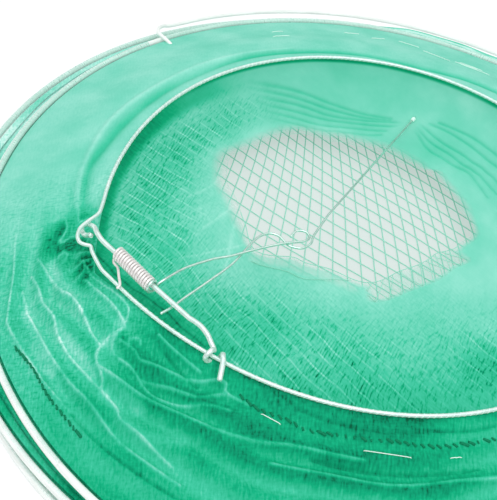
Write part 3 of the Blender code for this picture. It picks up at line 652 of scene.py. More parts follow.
def ring_path(centre, lap_at, lap_offset):
    """One wire round the ring, whose first end lies beside its last along the lap."""
    lap_end = lap_at + RING_LAP
    fine = math.radians(0.75)
    angles = np.arange(lap_at, lap_end + 2 * math.pi + fine / 2, fine)
    apart = 1 - step(angles, lap_end, lap_end + LAP_BEND)
    offset = lap_offset(angles)
    return centre + flat(angles) * BODY_RING_RADIUS + offset * apart[:, None]


def lap_outward(angle):
    return flat(angle) * LAP_OFFSET


def lap_above(angle):
    return (UP * math.cos(UPPER_LAP_TILT) + flat(angle) * math.sin(UPPER_LAP_TILT)) * LAP_OFFSET


def make_rings():
    for body, centre, lap_at, offset in (
        ("base", BASE_CENTRE, BASE_LAP_AT, lap_outward),
        ("middle", MIDDLE_CENTRE, MIDDLE_LAP_AT, lap_outward),
        ("upper", UPPER_CENTRE, UPPER_LAP_AT, lap_above),
    ):
        item = wire(f"{body}_ring_wire", ring_path(centre, lap_at, offset), BODY_WIRE, COATED, 18)
        settle(item, body, "coated_wire", f"{body}_ring")


def mouth_ring_path():
    pocket = [
        (-43.0, 12.5), (-42.3, 6.9), (-41.4, 1.5), (-40.0, -1.3), (-37.6, -3.9), (-34.6, -5.2),
        (-32.0, -4.3), (-29.8, -3.0), (-27.2, -4.4), (-23.6, -5.8), (-16.5, -8.0),
    ]
    start = MOUTH_CORNER_AT + POCKET_TO
    end = MOUTH_CORNER_AT + POCKET_FROM + 2 * math.pi
    around = [on_mouth_ring(a) for a in np.linspace(start, end, 49)]
    bends = [by_rod(t * MM, u * MM, 0) for t, u in pocket]
    loop = [*around[1:], *bends, around[0]]
    steps = 8
    whole = smooth_path([loop[-1], *loop, loop[0], loop[1]], steps)
    return whole[steps:-steps - 1]


def make_mouth_ring():
    item = wire("mouth_ring_wire", mouth_ring_path(), SHOWN_MOUTH_WIRE, RING_PLATED, 16, closed=True)
    settle(item, "mouth", "plated_wire", "mouth_ring")


def eye_points(angle, reach):
    centre = UPPER_CENTRE + flat(angle) * BODY_RING_RADIUS
    out = flat(angle)
    along = flat(FAR_EYE_AT - math.pi / 2)
    lean = along * math.cos(EYE_LEAN) + UP * math.sin(EYE_LEAN)
    half = EYE_HALF_WIDTH
    bend = 2.6 * MM - reach
    loop = [
        (EYE_END, -half), (0, -half), (bend, -half), (-reach, -0.62 * half), (-reach - 0.9 * MM, 0),
        (-reach, 0.62 * half), (bend, half), (0, half), (0.36 * BAIL_OFFSET, half),
    ]
    points = [centre + out * a + lean * b for a, b in loop]
    points.append(centre + out * 0.72 * BAIL_OFFSET + along * 1.45 * half + UP * 0.65 * half)
    return points + [centre + out * 0.93 * BAIL_OFFSET + along * 2.6 * half + UP * 0.35 * half]


def make_handle():
    bow = np.linspace(FAR_EYE_AT - BAIL_START, NEAR_EYE_AT + BAIL_START, 25)
    near_eye = eye_points(NEAR_EYE_AT, NEAR_EYE_REACH)
    points = [*eye_points(FAR_EYE_AT, FAR_EYE_REACH), *about(UPPER_CENTRE, bow, HANDLE_RADIUS),
              *reversed(near_eye)]
    item = wire("carrying_handle_wire", smooth_path(points, 8), HANDLE_WIRE, COATED, 14)
    settle(item, "handle", "coated_wire", "carrying_handle")


# Hinge, spring and arm


def wrap_points():
    centre = on_mouth_ring(WRAP_ANGLE)
    along = unit(on_mouth_ring(WRAP_ANGLE + 0.01) - on_mouth_ring(WRAP_ANGLE - 0.01))
    inward = np.cross(UP, along)
    bend = [(35.6, 0.9, 4.9), (40.3, 0.5, 4.3), (42.8, 0.1, 2.9)]
    points = [by_rod(t * MM, u * MM, above * MM) for t, u, above in bend]
    for degrees, shift in ROD_WRAP:
        turn = math.radians(degrees)
        place = centre + along * shift * MM
        points.append(place + (inward * math.cos(turn) + UP * math.sin(turn)) * WRAP_RADIUS)
    tail = unit(along * 0.4 - inward - UP * 0.25)
    return points + [points[-1] + tail * ROD_TAIL * 0.4 + UP * 0.4 * MM, points[-1] + tail * ROD_TAIL]


def rod_path():
    eye = [
        (-33.4, 0.2, -0.7), (-35.1, 0.8, -0.1), (-36.7, 1.0, 0.6), (-38.9, 1.2, 1.2), (-41.4, 1.9, 1.4),
        (-43.4, 3.6, 1.4), (-43.8, 5.6, 1.4), (-42.6, 6.8, 1.15), (-40.6, 6.2, 0.65), (-37.9, 5.1, -0.4),
        (-34.8, 3.6, -1.3), (-31.2, 1.7, -1.85),
    ]
    points = [by_rod(t * MM, u * MM, level * UNDER_POCKET) for t, u, level in eye]
    points += [by_rod(-26 * MM, 0.2 * MM), by_rod(-20 * MM, 0)]
    turns = smooth_path([by_rod(ROD_STRAIGHT_TO, 0), *wrap_points()], 6)
    return smooth_path(points, 6) + [by_rod(0, 0)] + turns


def coil_point(turns):
    turn = 2 * math.pi * turns - math.pi / 2
    lean = SPRING_LEAN * (1 - 2 * turns / (SPRING_TURNS + LEG_TURNS))
    across = SPRING_COIL_RADIUS * math.cos(turn) + lean
    above_ring = ROD_ABOVE_RING + SPRING_COIL_RADIUS * math.sin(turn)
    return by_rod(SPRING_FROM + SPRING_PITCH * turns, across, above_ring)


def spring_path():
    over_ring = MOUTH_WIRE / 2 + TOUCH_GAP + SPRING_WIRE / 2
    across = (on_mouth_ring(ring_angle_at(SPRING_FOOT_AT)) - HINGE) @ ACROSS_ROD
    bottom = ROD_ABOVE_RING - SPRING_COIL_RADIUS
    foot = [
        by_rod(SPRING_FOOT_AT + 0.8 * MM, across - 2.4 * MM, over_ring),
        by_rod(SPRING_FOOT_AT, across, over_ring),
        by_rod(mix(SPRING_FOOT_AT, SPRING_FROM, 0.32), mix(across, 0, 0.34), over_ring - 0.4 * MM),
        by_rod(mix(SPRING_FOOT_AT, SPRING_FROM, 0.66), mix(across, 0, 0.70),
               mix(over_ring, bottom, 0.1) - 0.7 * MM),
        by_rod(SPRING_FROM + 1.4 * MM, -2.2 * MM, bottom - 0.9 * MM),
        by_rod(SPRING_FROM - 0.1 * MM, -0.9 * MM, bottom - 0.4 * MM),
    ]
    return smooth_path([*foot, coil_point(0), coil_point(0.11)], 4)[:-4] + [
        coil_point(t) for t in np.linspace(0, SPRING_TURNS, SPRING_TURNS * STEPS_PER_TURN + 1)]


def leg_path():
    start = SPRING_TURNS + LEG_GAP_TURN
    end = start + LEG_TURNS
    reach = [
        (0.5, 4.9, 2.1), (0.2, 10, 1.9), (0.1, 19.3, 1.4), (2.6, 33, 1.0), (5.8, 42.2, 0.8),
        (8.0, 51, 0.75), (11.6, 63.5, 0.75), (14.8, 72.2, 0.75), (18.0, 79.4, 0.5), (18.0, 84.2, 0.3),
        (14.2, 86, 0.3), (11.2, 82.6, 0.3), (12.0, 77.2, -0.3),
    ]
    hook_base = 8.4 * MM
    coil_end = SPRING_FROM + SPRING_PITCH * end
    points = []
    for along, out, above in reach:
        share = min(1, out * MM / LEG_BLENDS_WITHIN)
        points.append(by_arm(mix(coil_end, hook_base, share) + along * MM, out * MM, above * MM))
    turn = [coil_point(t) for t in np.linspace(start, end, round(LEG_TURNS * STEPS_PER_TURN) + 1)]
    return turn[:-1] + smooth_path([turn[-1], *points], 6)


def arm_path():
    under_rod = -(ROD_WIRE + ARM_WIRE) / 2 - TOUCH_GAP
    points = [by_arm(t * MM, s * MM, under_rod) for t, s in ((20.2, -6.8), (20.3, 0), (19.4, 8))]
    bends = [
        (18.6, 24, -1.2), (17.2, 40, -0.8), (13.8, 53.5, -0.75), (11.6, 64, -0.75), (12.6, 70.6, -0.75),
        (16.4, 73.2, -0.75), (21.0, 72.6, -0.75), (24.5, 72.8, -0.75), (28.6, 76.6, -0.75),
        (28.8, 83, -0.75), (25.8, 89, -0.6), (20.1, 107, -0.3),
    ]
    points = smooth_path(points + [by_arm(t * MM, s * MM, h * MM) for t, s, h in bends], 6)
    return points + [by_arm(ARM_TIP_ALONG, ARM_REACH / math.cos(ARM_DROOP), 0)]


def tie_path(arm):
    """Turns of thread round the arm's tip."""
    ahead = unit(arm[-1] - arm[-2])
    side = unit(np.cross(ahead, UP))
    over = np.cross(side, ahead)
    turns = np.linspace(0, TIE_TURNS * 2 * math.pi, TIE_TURNS * STEPS_PER_TURN + 1)
    round_arm = side * np.cos(turns)[:, None] + over * np.sin(turns)[:, None]
    slide = (turns - turns.mean()) / (2 * math.pi) * TIE_PITCH
    return arm[-1] + ahead * (slide - TIE_FROM_TIP)[:, None] + round_arm * (ARM_WIRE + TIE_THREAD) / 2


def make_hinge():
    arm = arm_path()
    for node, ending, body, path, diameter, material, sides in (
        ("pivot_rod", "_wire", "mouth", rod_path(), ROD_WIRE, RING_PLATED, 16),
        ("torsion_spring", "_coil", "mouth", spring_path(), SHOWN_COIL_WIRE, SPRING_PLATED, 12),
        ("spring_leg", "_wire", "arm", leg_path(), SHOWN_ARM_WIRE, ARM_PLATED, 12),
        ("closing_arm", "_wire", "arm", arm, SHOWN_ARM_WIRE, ARM_PLATED, 12),
    ):
        settle(wire(node + ending, path, diameter, material, sides), body, "plated_wire", node)
    tie = wire("arm_tip_binding", tie_path(arm), TIE_THREAD, PALE_THREAD, 8)
    settle(tie, "arm", "thread", "arm_tip_tie")


# Nets


# Angles of the cloths' grids round the mouth, closer on the near side, which the photo shows best
CLOTH_ANGLES = np.radians(np.concatenate([np.arange(180, 330, 0.34), np.arange(330, 540, 0.7)]))
WALES_RUN = -80
SLEEVE_PLANE = (CAMERA_RIGHT, CAMERA_UP)
NOISE_APART = 17.3

# The shoulder's pleats, its gathers by the pocket and the crumpled cloth beside them, in degrees and mm
PLEAT_PITCH = 11.5
GATHER_AT, GATHER_REACH, GATHER_COUNT = 207, 15, 12
CRUMPLE_AT, CRUMPLE_OUT, CRUMPLE_REACH = 199.5, 13, 13
STITCH_STEP = 0.5 * MM

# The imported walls
WALL_FOLDS = 3
STEPS_PER_FOLD = 12
WALL_FOLD_DEPTH = 24
WALL_FOLD_UNEVEN = 5


def edge_dip(angle):
    return DIP_DEPTH * np.exp(-((turn_from(angle, DIP_AT) / DIP_HALF_WIDTH) ** 4))


def mouth_edge(angle):
    return on_mouth_ring(angle, -NET_EDGE_RISE - CLOTH_UNDER_RING - edge_dip(angle))


def upper_edge(angle):
    return about(UPPER_CENTRE, angle, NET_RADIUS, NET_EDGE_RISE)


def hole_radius(angle):
    spots = np.array(SLEEVE_HOLE, float)
    at = np.radians(np.concatenate([[spots[-1, 0] - 360], spots[:, 0], [spots[0, 0] + 360]]))
    reach = np.concatenate([[spots[-1, 1]], spots[:, 1], [spots[0, 1]]]) * MM
    angle = np.asarray(angle) % (2 * math.pi)
    k = np.clip(np.searchsorted(at, angle), 1, len(at) - 1)
    t = (angle - at[k - 1]) / (at[k] - at[k - 1])
    return mix(reach[k - 1], reach[k], 0.5 - 0.5 * np.cos(math.pi * t))


def table_at(table, angle):
    """A value given at certain degrees, read at any angle."""
    degrees, values = np.array(table, float).T
    return np.interp(np.degrees(angle) % 360, degrees, values, period=360)


def shoulder_place(angle, out):
    """On the straight line between mouth ring and upper ring, some millimetres out from the mouth."""
    inner = mouth_edge(angle)
    run = upper_edge(angle) - inner
    share = out * MM / np.linalg.norm(run[..., :2], axis=-1)
    return inner + run * share[..., None]


def sleeve_place(angle, share):
    """Between the mouth ring and the hole, and past the hole for a share over 1."""
    top = mouth_edge(angle)
    lip = about(MOUTH_CENTRE + SLEEVE_HOLE_CENTRE, angle, hole_radius(angle), -SLEEVE_DEPTH)
    points = mix(top, lip, np.asarray(share)[..., None])
    drop = np.sin(math.pi * np.clip(share, 0, 1) / 2) ** SLEEVE_STEEPNESS
    points[..., 2] = mix(top[..., 2], lip[..., 2], drop)
    return points


def lines_on(points, place, lines, width):
    """1 on lines given in degrees and a second measure, and 0 away from them, seen from above."""
    nearest = np.full(points.shape[:-1], np.inf)
    for line in lines:
        traced = np.array(smooth_path(line, 4))
        path = place(np.radians(traced[:, 0]), traced[:, 1])[:, :2]
        for start, end in zip(path[:-1], path[1:]):
            run = end - start
            share = np.clip(((points[..., :2] - start) @ run) / (run @ run), 0, 1)
            gap = points[..., :2] - start - share[..., None] * run
            nearest = np.minimum(nearest, np.hypot(gap[..., 0], gap[..., 1]))
    return bell(nearest / MM, 0, width)


def field(points, seed, size, tall=None):
    """Smooth noise from about -1 to 1, in patches of a size and, if given, another height in mm."""
    spots = points.reshape(-1, 3) / (np.array([size, size, tall or size]) * MM) + seed * NOISE_APART
    return np.array([noise.noise(Vector(p)) for p in spots]).reshape(points.shape[:-1])


def weave(points, degrees, plane=((1, 0, 0), (0, 1, 0))):
    """UV in millimetres across and along wales that run one way on a plane, as on the cut net."""
    level, rising = np.array(plane)
    turn = math.radians(degrees)
    across = rising * math.cos(turn) - level * math.sin(turn)
    along = level * math.cos(turn) + rising * math.sin(turn)
    return np.stack([points @ across, points @ along], -1) / MM


def wrapped(uv_points):
    return np.concatenate([uv_points, uv_points[:, :1]], 1)


def spread(across, along):
    """UV from two measures that each vary one way over a grid."""
    return np.stack(np.broadcast_arrays(across, along), -1)


def add_cloth(shape, points, uv, deep, crest=0.0, sheer=0.0, ladder=0.0, grain=0.3, around=False):
    """A grid with the values that the net's material reads."""
    shape.grid(points, uv, around, deep=deep, crest=crest, sheer=sheer, ladder=ladder, grain=grain)


def on_shoulder(points, line, lift):
    """A line laid on the modelled shoulder: each height comes from the nearest points of its grid."""
    path = shoulder_place(np.radians(line[:, 0]), line[:, 1])
    steps = np.linalg.norm(np.diff(path[:, :2], axis=0), axis=1)
    at = np.concatenate([[0], np.cumsum(steps)])
    fine = np.linspace(0, at[-1], max(3, round(at[-1] / STITCH_STEP)))
    path = np.stack([np.interp(fine, at, path[:, k]) for k in range(3)], -1)
    degrees = np.interp(fine, at, line[:, 0])
    count = len(CLOTH_ANGLES)
    columns = np.searchsorted(CLOTH_ANGLES, np.radians((degrees - 180) % 360 + 180)) % count
    for spot, column in zip(path, columns):
        near = points[:, np.arange(column - 3, column + 4) % count].reshape(-1, 3)
        gaps = np.hypot(*(near[:, :2] - spot[:2]).T)
        spot[2] = near[np.argsort(gaps)[:4], 2].mean() + lift
    return path


def band(angles, middle, half, soft):
    """1 within half of a middle angle, in degrees, and 0 past a soft edge."""
    away = np.abs(turn_from(angles, math.radians(middle)))
    return 1 - step(away, math.radians(half), math.radians(half + soft))


def make_shoulder():
    """The gathered cloth from the mouth ring out to the upper ring."""
    angles = CLOTH_ANGLES
    share = np.linspace(0, 1, 130)[:, None]
    inner, outer = mouth_edge(angles), upper_edge(angles)
    points = mix(inner, outer, share[..., None])
    width = np.linalg.norm((outer - inner)[:, :2], axis=1) / MM
    out = share * width
    far = band(angles, 95, 92, 22)
    near = 1 - far
    left = band(angles, 206, 14, 12)
    inside = np.sin(math.pi * share)

    def marked(lines, thickness):
        return lines_on(points, shoulder_place, lines, thickness)

    creases = marked(SHOULDER_CREASES, 0.6) * np.clip(0.85 + 0.7 * field(points, 7, 8), 0.25, 1)
    banks, folds = marked(SHOULDER_CREASES, 2.2), marked(SHOULDER_FOLDS, 0.65)
    groove, ridge = marked([FAR_GROOVE], 2.6), marked([FAR_RIDGE], 1.8)
    strips, deeps = marked(SHOULDER_PALE, 2.6), marked(SHOULDER_DEEP, 2.6)

    spot = points.copy()
    swell = field(spot, 3, 60)
    spot[..., 2] = out * MM
    pleat = np.sin(2 * math.pi * (out + field(spot, 1, 50, 40) * 8) / PLEAT_PITCH)
    blots = field(spot, 21, 11)
    sideways = turn_from(angles, math.radians(GATHER_AT)) * 140
    gather = np.exp(-((np.hypot(sideways, out + 4) / GATHER_REACH) ** 4)) * step(out, 0, 2)
    gathers = np.cos(GATHER_COUNT * (np.arctan2(sideways, out + 4) + 0.25 * swell))
    beside = np.hypot(turn_from(angles, math.radians(CRUMPLE_AT)) * 150, out - CRUMPLE_OUT)
    crumple = np.exp(-((beside / CRUMPLE_REACH) ** 4))

    # Height over the straight cloth, in millimetres
    height = near * inside * (1.1 * pleat + 2.2 * swell) - 1.6 * inside * near
    height += near * step(out, 1, 6) * (0.8 * creases + 0.6 * banks - 0.8 * folds) * (1 - 0.6 * gather)
    height += far * (1.2 * swell * inside - 1.3 * groove + 1.2 * ridge + 1.8 * bell(out, 32, 14))
    height += (1.5 * gather * gathers + 1.4 * crumple * blots) * step(out, 1, 5)
    points[..., 2] += height * MM

    # Tone, from a single layer at 0 to many at 1. It also holds painted shade in the far groove, in the
    # folds, on the pleats and swells, beside the creases and just outside the ring on the near side, and
    # painted light on the far ridge. The near side is darker partly for its layers and partly as painted
    # shade
    shade = 0.24 + 0.48 * near - 0.24 * left * near + 0.10 * near * pleat * inside
    shade += 0.08 * near * step(out, 52, 64) - 0.07 * near * (1 - left) * step(out, 26, 40)
    shade += (0.15 + 0.13 * band(angles, 100, 30, 14)) * far * groove - 0.08 * far * ridge
    shade += 0.16 * band(angles, 178, 20, 14) * bell(out, 14, 5) * (1 - ridge)
    shade += near * (0.14 * folds + 0.10 * bell(out, 0, 2.5) + 0.06 * banks + 0.12 * swell)
    shade += 0.12 * band(angles, 265, 12, 12) * (1 - step(out, 22, 40)) - 0.2 * strips + 0.09 * deeps
    shade += 0.37 * gather + 0.2 * gather * step(gathers, 0.6, -0.3)
    shade += crumple * (0.16 + 0.38 * step(blots, -0.12, 0.2))
    shade += 0.05 * band(angles, 190, 10, 8) * bell(out, 30, 10)
    # Painted highlights on the creases, the gathers and the crumpled cloth
    pale = np.maximum(creases * near * 0.7, 0.4 * gather * step(gathers, 0.75, 1.0))
    pale = np.maximum(pale, 0.6 * crumple * bell(blots, -0.08, 0.05))

    shape = Shape()
    add_cloth(shape, points, wrapped(weave(points, WALES_RUN)), np.minimum(shade, 0.92), crest=pale,
              ladder=0.30 * left, grain=0.2 + 0.55 * near + 0.25 * left, around=True)
    return dress(shape.build("shoulder_cloth", FINE_NET), "fine_net", "shoulder_net"), points


def make_stitches(points):
    """Seams on the shoulder as short stitches, and short pale strokes beside them; those on the far side
    are painted glints on the fold crests.
    """
    seam, bright = Shape(), Shape()
    for line, gap in ((MOUTH_SEAM, 3.7), (OUTER_SEAM, 3.0)):
        path = on_shoulder(points, np.array(smooth_path(line, 5)), 0.2 * MM)
        each = round(gap * MM / STITCH_STEP)
        for start in range(0, len(path) - each, each):
            slip = noise.noise(Vector((start * 0.37, gap, 0)))
            stitch = path[start:start + max(3, round(each * (0.6 + 0.5 * slip)))].copy()
            stitch[:, :2] += np.linspace(-0.9, 0.9, len(stitch))[:, None] * (0.2 + slip, -0.8) * MM
            stitch[[0, -1], 2] -= 0.3 * MM
            add_tube(seam, stitch, (1.05 + 0.6 * slip) * MM, 6, round_ends=False)
    for line in PALE_STROKES:
        path = on_shoulder(points, np.array(line, float), 0.3 * MM)
        path[[0, -1], 2] -= 0.5 * MM
        add_tube(bright, path, 0.42 * MM, 6, round_ends=False)
    stitches = dress(seam.build("shoulder_stitches", SEAM_THREAD), "thread", "shoulder_seam_thread")
    return [stitches, dress(bright.build("shoulder_pale_strokes", PALE_THREAD), "thread")]


def make_sleeve():
    """The cloth that hangs from the mouth ring in to the hole, where it ends in a sheer edge."""
    angles = CLOTH_ANGLES
    end = table_at(SLEEVE_END, angles)
    share = np.linspace(0, 1, 96)[:, None] ** 1.5 * end
    points = sleeve_place(angles, share)
    start = sleeve_place(angles, np.zeros_like(angles))
    down = (start[:, 2] - points[..., 2]) / MM
    out = np.linalg.norm((points - start)[..., :2], axis=-1) / MM

    def marked(lines, thickness):
        return lines_on(points, sleeve_place, lines, thickness)

    wrinkles = marked(LEFT_WRINKLES, 0.8)
    folds = marked(FAR_FOLDS, 0.75) * band(angles, 105, 19, 14)
    folds = folds * step(turn_from(angles, math.radians(79)), 0, math.radians(5))
    folds = np.maximum(folds, marked(RIGHT_FOLDS, 0.75) * band(angles, 45, 25, 6))
    rod_hollow_shade = np.clip(1.7 * marked([ROD_HOLLOW_SHADE], 7), 0, 1)
    shadow = marked([ROD_SHADOW], 0.8)
    soft = field(points, 5, 40)
    inside = np.sin(math.pi * np.clip(share / end, 0, 1)) ** 0.6
    points[..., 2] += inside * (1.3 * soft - 0.5 * folds + 0.3 * wrinkles) * MM

    lower_left = band(angles, 222, 42, 40)
    left = band(angles, 172, 26, 24)
    far = band(angles, 76, 62, 26)
    near = band(angles, 268, 28, 44)
    corner = band(angles, 188, 26, 34)
    patch = band(angles, 318, 10, 14) * bell(share, 0.3, 0.2)
    # Painted shade: a band just inside the ring at the left, and a thin line just inside it round the far
    # side
    ring_shade_band = corner * (1 - step(out, 2, 6.5))
    shade_line_by_ring = band(angles, 90, 95, 20) * (1 - step(down, 1.3, 2.8)) * (1 - corner)
    within = step(share, 0.45, 0.95)
    lay = 0.5 + 0.5 * soft
    # Tone, partly layers of net and partly painted shade, with the fold lines darkened as painted shade
    shade = 0.21 + 0.15 * lower_left * (1 - 0.9 * within) + 0.10 * left * bell(share, 0.38, 0.25)
    shade += 0.07 * far * (1 - step(share, 0.62, 0.9)) + 0.21 * near * (1 - within) * lay + 0.02 * within
    shade += 0.46 * ring_shade_band + 0.5 * shade_line_by_ring + 0.16 * folds * (1 - 0.4 * within)
    shade += 0.07 * soft + 0.1 * patch + 0.13 * band(angles, 290, 16, 16) * (1 - step(share, 0.35, 0.62))
    # Painted shade under the rod, and the rod's painted shadow
    shade = mix(shade, 0.78, rod_hollow_shade * (1 - 0.2 * lay)) + 0.2 * shadow
    ladder = 0.95 * left * bell(share, 0.4, 0.27) + 0.5 * (lower_left + near) * (1 - within) + patch
    ladder = np.clip(ladder, 0, 1) * (1 - step(ring_shade_band, 0.3, 0.9)) * (1 - 0.7 * rod_hollow_shade)
    sheer = step(share, table_at(SHEER_FROM, angles), end)
    sheer = np.maximum(sheer, 0.8 * band(angles, 311, 27, 6) * step(share, 0.865, 0.89))
    sheer = np.maximum(sheer, 0.4 * band(angles, 251, 20, 8) * step(share, 0.89, 0.95))

    # One slanting plane carries the weave, as it suits the steep left side and the flat middle alike
    pivot = sleeve_place(np.array(math.radians(175)), np.array(0.35))
    turned = weave(points - pivot, -31, SLEEVE_PLANE) + weave(pivot, -42, SLEEVE_PLANE)
    uv = mix(weave(points, -42, SLEEVE_PLANE), turned, band(angles, 165, 35, 35)[:, None])
    shape = Shape()
    # Painted highlights on the wrinkles at the left
    add_cloth(shape, points, wrapped(uv), shade, crest=wrinkles * 0.15, sheer=sheer, ladder=ladder,
              grain=0.06 + 0.5 * np.maximum(lower_left, near) * (1 - 0.5 * within), around=True)
    return dress(shape.build("sleeve_cloth", FINE_NET), "fine_net", "sleeve_net")


def make_sleeve_edge():
    """The thread of the hole's rim, a second one on the near side, and the coarse mesh beside it."""
    shape = Shape()
    for start, stop, thick in ((-15, 205, 0.15), (205, 345, 0.45)):
        angles = np.radians(np.arange(start, stop + 0.5, 0.75))
        rim = sleeve_place(angles, table_at(SLEEVE_END, angles)) + UP * 0.1 * MM
        add_tube(shape, rim, thick * MM, 6)
    second = np.linspace(229, 273, 60)
    inward = np.interp(second, (229, 240, 250, 260, 273), (0.91, 0.885, 0.885, 0.92, 0.985))
    add_tube(shape, sleeve_place(np.radians(second), inward) + UP * 0.5 * MM, 0.35 * MM, 6)
    way = np.linspace(0, 1, 10)
    for turn in np.arange(276, 350, 6.6):
        for slant in (-7.5, 7.5):
            strand = turn + slant * way
            kept = (strand > 280) & (strand < 341)
            if kept.sum() > 2:
                path = sleeve_place(np.radians(strand[kept]), mix(0.87, 0.995, way[kept]))
                add_tube(shape, path + UP * 0.45 * MM, 0.4 * MM, 5, round_ends=False)
    return dress(shape.build("sleeve_lip_thread", COARSE_THREAD), "thread", "sleeve_lip_cord")


def make_wall(name, low_centre, high_centre, node, seed):
    """A packed wall between two body rings, in folds that run inward."""
    angles = np.linspace(0, 2 * math.pi, 720, endpoint=False)
    share = np.linspace(0, 1, WALL_FOLDS * STEPS_PER_FOLD + 1)[:, None]
    middle = mix(low_centre + UP * NET_EDGE_RISE, high_centre - UP * NET_EDGE_RISE, share)
    wave = 0.5 - 0.5 * np.cos(2 * math.pi * WALL_FOLDS * share)
    uneven = field(about(0, angles, BODY_RING_RADIUS, share * 20 * MM), seed, 30, 8)
    radius = NET_RADIUS - (WALL_FOLD_DEPTH + WALL_FOLD_UNEVEN * uneven) * MM * wave
    radius += 1.2 * MM * uneven * (1 - wave) * np.sin(math.pi * share)
    points = about(middle[:, None], angles, radius)
    shape = Shape()
    # Tone paler on the far side as painted light, and darker where the folds run deeper
    add_cloth(shape, points, wrapped(weave(points, WALES_RUN)), 0.68 - 0.55 * band(angles, 100, 80, 30)
              + 0.2 * uneven, ladder=0.1, grain=0.7, around=True)
    return dress(shape.build(name, FINE_NET), "fine_net", node)


def make_nets():
    shoulder, shoulder_points = make_shoulder()
    stitches = make_stitches(shoulder_points)
    sleeve, edge = make_sleeve(), make_sleeve_edge()
    lower = make_wall("lower_wall_cloth", BASE_CENTRE, MIDDLE_CENTRE, "lower_wall_net", 7)
    upper = make_wall("upper_wall_cloth", MIDDLE_CENTRE, UPPER_CENTRE, "upper_wall_net", 8)
    for item in (shoulder, *stitches):
        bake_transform(item)
    for item in (sleeve, edge):
        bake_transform(item)
    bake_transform(lower)
    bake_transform(upper)


# The floor net


MESH_ACROSS = flat(math.radians(-30.5)) * 7.1 * MM
MESH_ALONG = flat(math.radians(-86)) * 9.2 * MM
FLOOR_STRANDS_EACH_WAY = 44
FLOOR_STRAND = 0.62 * MM
FLOOR_EDGE = 1.4 * MM


def floor_place(i, j):
    """Where a strand passes, with the net's slow drift over the floor."""
    place = i[..., None] * MESH_ACROSS + j[..., None] * MESH_ALONG
    x, y = place[..., 0], place[..., 1]
    x += 0.2 * np.tanh((x / MM + 30) / 45) * (0.06 - y)
    x += 1.6 * MM * np.sin(y / (31 * MM)) + 0.8 * MM * np.sin(x / (17 * MM))
    y += 1.8 * MM * np.sin(x / (37 * MM) + 1.3)
    return place


def make_floor_net():
    shape = Shape()
    last = FLOOR_STRANDS_EACH_WAY
    steps = np.arange(-last, last + 0.01, 0.5)
    knots = np.cos(2 * math.pi * steps) * 0.5 + 0.5
    for k in range(-last, last + 1):
        fixed = np.full_like(steps, k)
        for path, over in ((floor_place(fixed, steps), 0.12), (floor_place(steps, fixed), -0.12)):
            path[:, 2] = (0.62 + over * knots) * MM
            kept = np.hypot(path[:, 0], path[:, 1]) < NET_RADIUS
            if kept.sum() > 3:
                add_tube(shape, path[kept], FLOOR_STRAND, 5, round_ends=False)
    turns = np.linspace(0, 2 * math.pi, 360, endpoint=False)
    add_tube(shape, about(0, turns, NET_RADIUS - 0.8 * MM, 0.75 * MM), FLOOR_EDGE, 8, closed=True)
    settle(shape.build("floor_netting", COARSE_THREAD), "base", "coarse_net", "base_net")


# Hems


# Lengths of the rings in millimetres, for the hems' UV
BODY_RING_LENGTH = 1256
MOUTH_RING_MEAN = 118

HEM_OVER_WIRE = 0.35 * MM
HEM_GAP_AT_NEAR_EYE = 9 * MM
HEM_GAP_AT_FAR_EYE = 6.5 * MM
BINDING_OVER_WIRE = 0.05 * MM
BINDING_PITCH = 2.6
BINDING_THREAD = 0.26 * MM


def add_flap(shape, centre):
    """Slack net outside the upper ring, between it and the handle's bow."""
    start, full_from, full_to, end = np.radians((30, 42, 88, 97))
    angles = np.linspace(start, end, 180)
    across = np.linspace(1, 0, 26)[:, None]
    ends = step(angles, end, full_to) * step(angles, start, full_from)
    wavy = np.array([noise.noise(Vector((a * 9, 3, 0))) for a in angles])
    reach = (1.9 + (4.9 + 1.4 * wavy) * ends) * MM
    rise = 1.1 * MM * np.cos(across * 9.5 + 6 * wavy) * ends * np.sin(math.pi * across)
    points = about(centre, angles, BODY_RING_RADIUS + mix(1.0 * MM, reach, across), rise)
    # Stripes along the flap: painted shade between its folds and painted highlights on their ridges
    fold_light_and_shade = np.cos(across * 19 + 5 * wavy)
    add_cloth(shape, points, spread(angles * 205, across * 8), 0.12 + 0.3 * step(fold_light_and_shade, 0.3, 1.0),
              crest=0.3 * step(fold_light_and_shade, -0.2, -1))


def make_body_hem(name, body, centre, start, end, node, flap=False):
    """Sheer net folded over a body ring, from its inner side to its top."""
    angles = np.linspace(start, end, 721)
    turns = np.radians(np.linspace(-75, 110, 13))[:, None]
    uv = spread(angles / (2 * math.pi) * BODY_RING_LENGTH, turns * 2)
    whole = end - start > 2 * math.pi - 0.01
    if whole:
        angles = angles[:-1]
    radius = BODY_WIRE / 2 + HEM_OVER_WIRE
    points = about(centre, angles, BODY_RING_RADIUS - radius * np.cos(turns), radius * np.sin(turns))
    far = band(angles, 110, 70, 25)
    shape = Shape()
    add_cloth(shape, points, uv, 0.08 + 0.1 * far, sheer=0.94 - 0.22 * far, grain=0.05, around=whole)
    if flap:
        add_flap(shape, centre)
    settle(shape.build(name, FINE_NET), body, "fine_net", node)


def make_body_hems():
    full = 2 * math.pi
    make_body_hem("base_hem", "base", BASE_CENTRE, 0, full, "base_ring_hem")
    make_body_hem("middle_hem", "middle", MIDDLE_CENTRE, 0, full, "middle_ring_hem")
    near_gap, far_gap = HEM_GAP_AT_NEAR_EYE / BODY_RING_RADIUS, HEM_GAP_AT_FAR_EYE / BODY_RING_RADIUS
    make_body_hem("upper_hem_back", "upper", UPPER_CENTRE, NEAR_EYE_AT + near_gap, FAR_EYE_AT - far_gap,
                  "upper_ring_hem_back", flap=True)
    make_body_hem("upper_hem_front", "upper", UPPER_CENTRE, FAR_EYE_AT + far_gap,
                  NEAR_EYE_AT + full - near_gap, "upper_ring_hem_front")


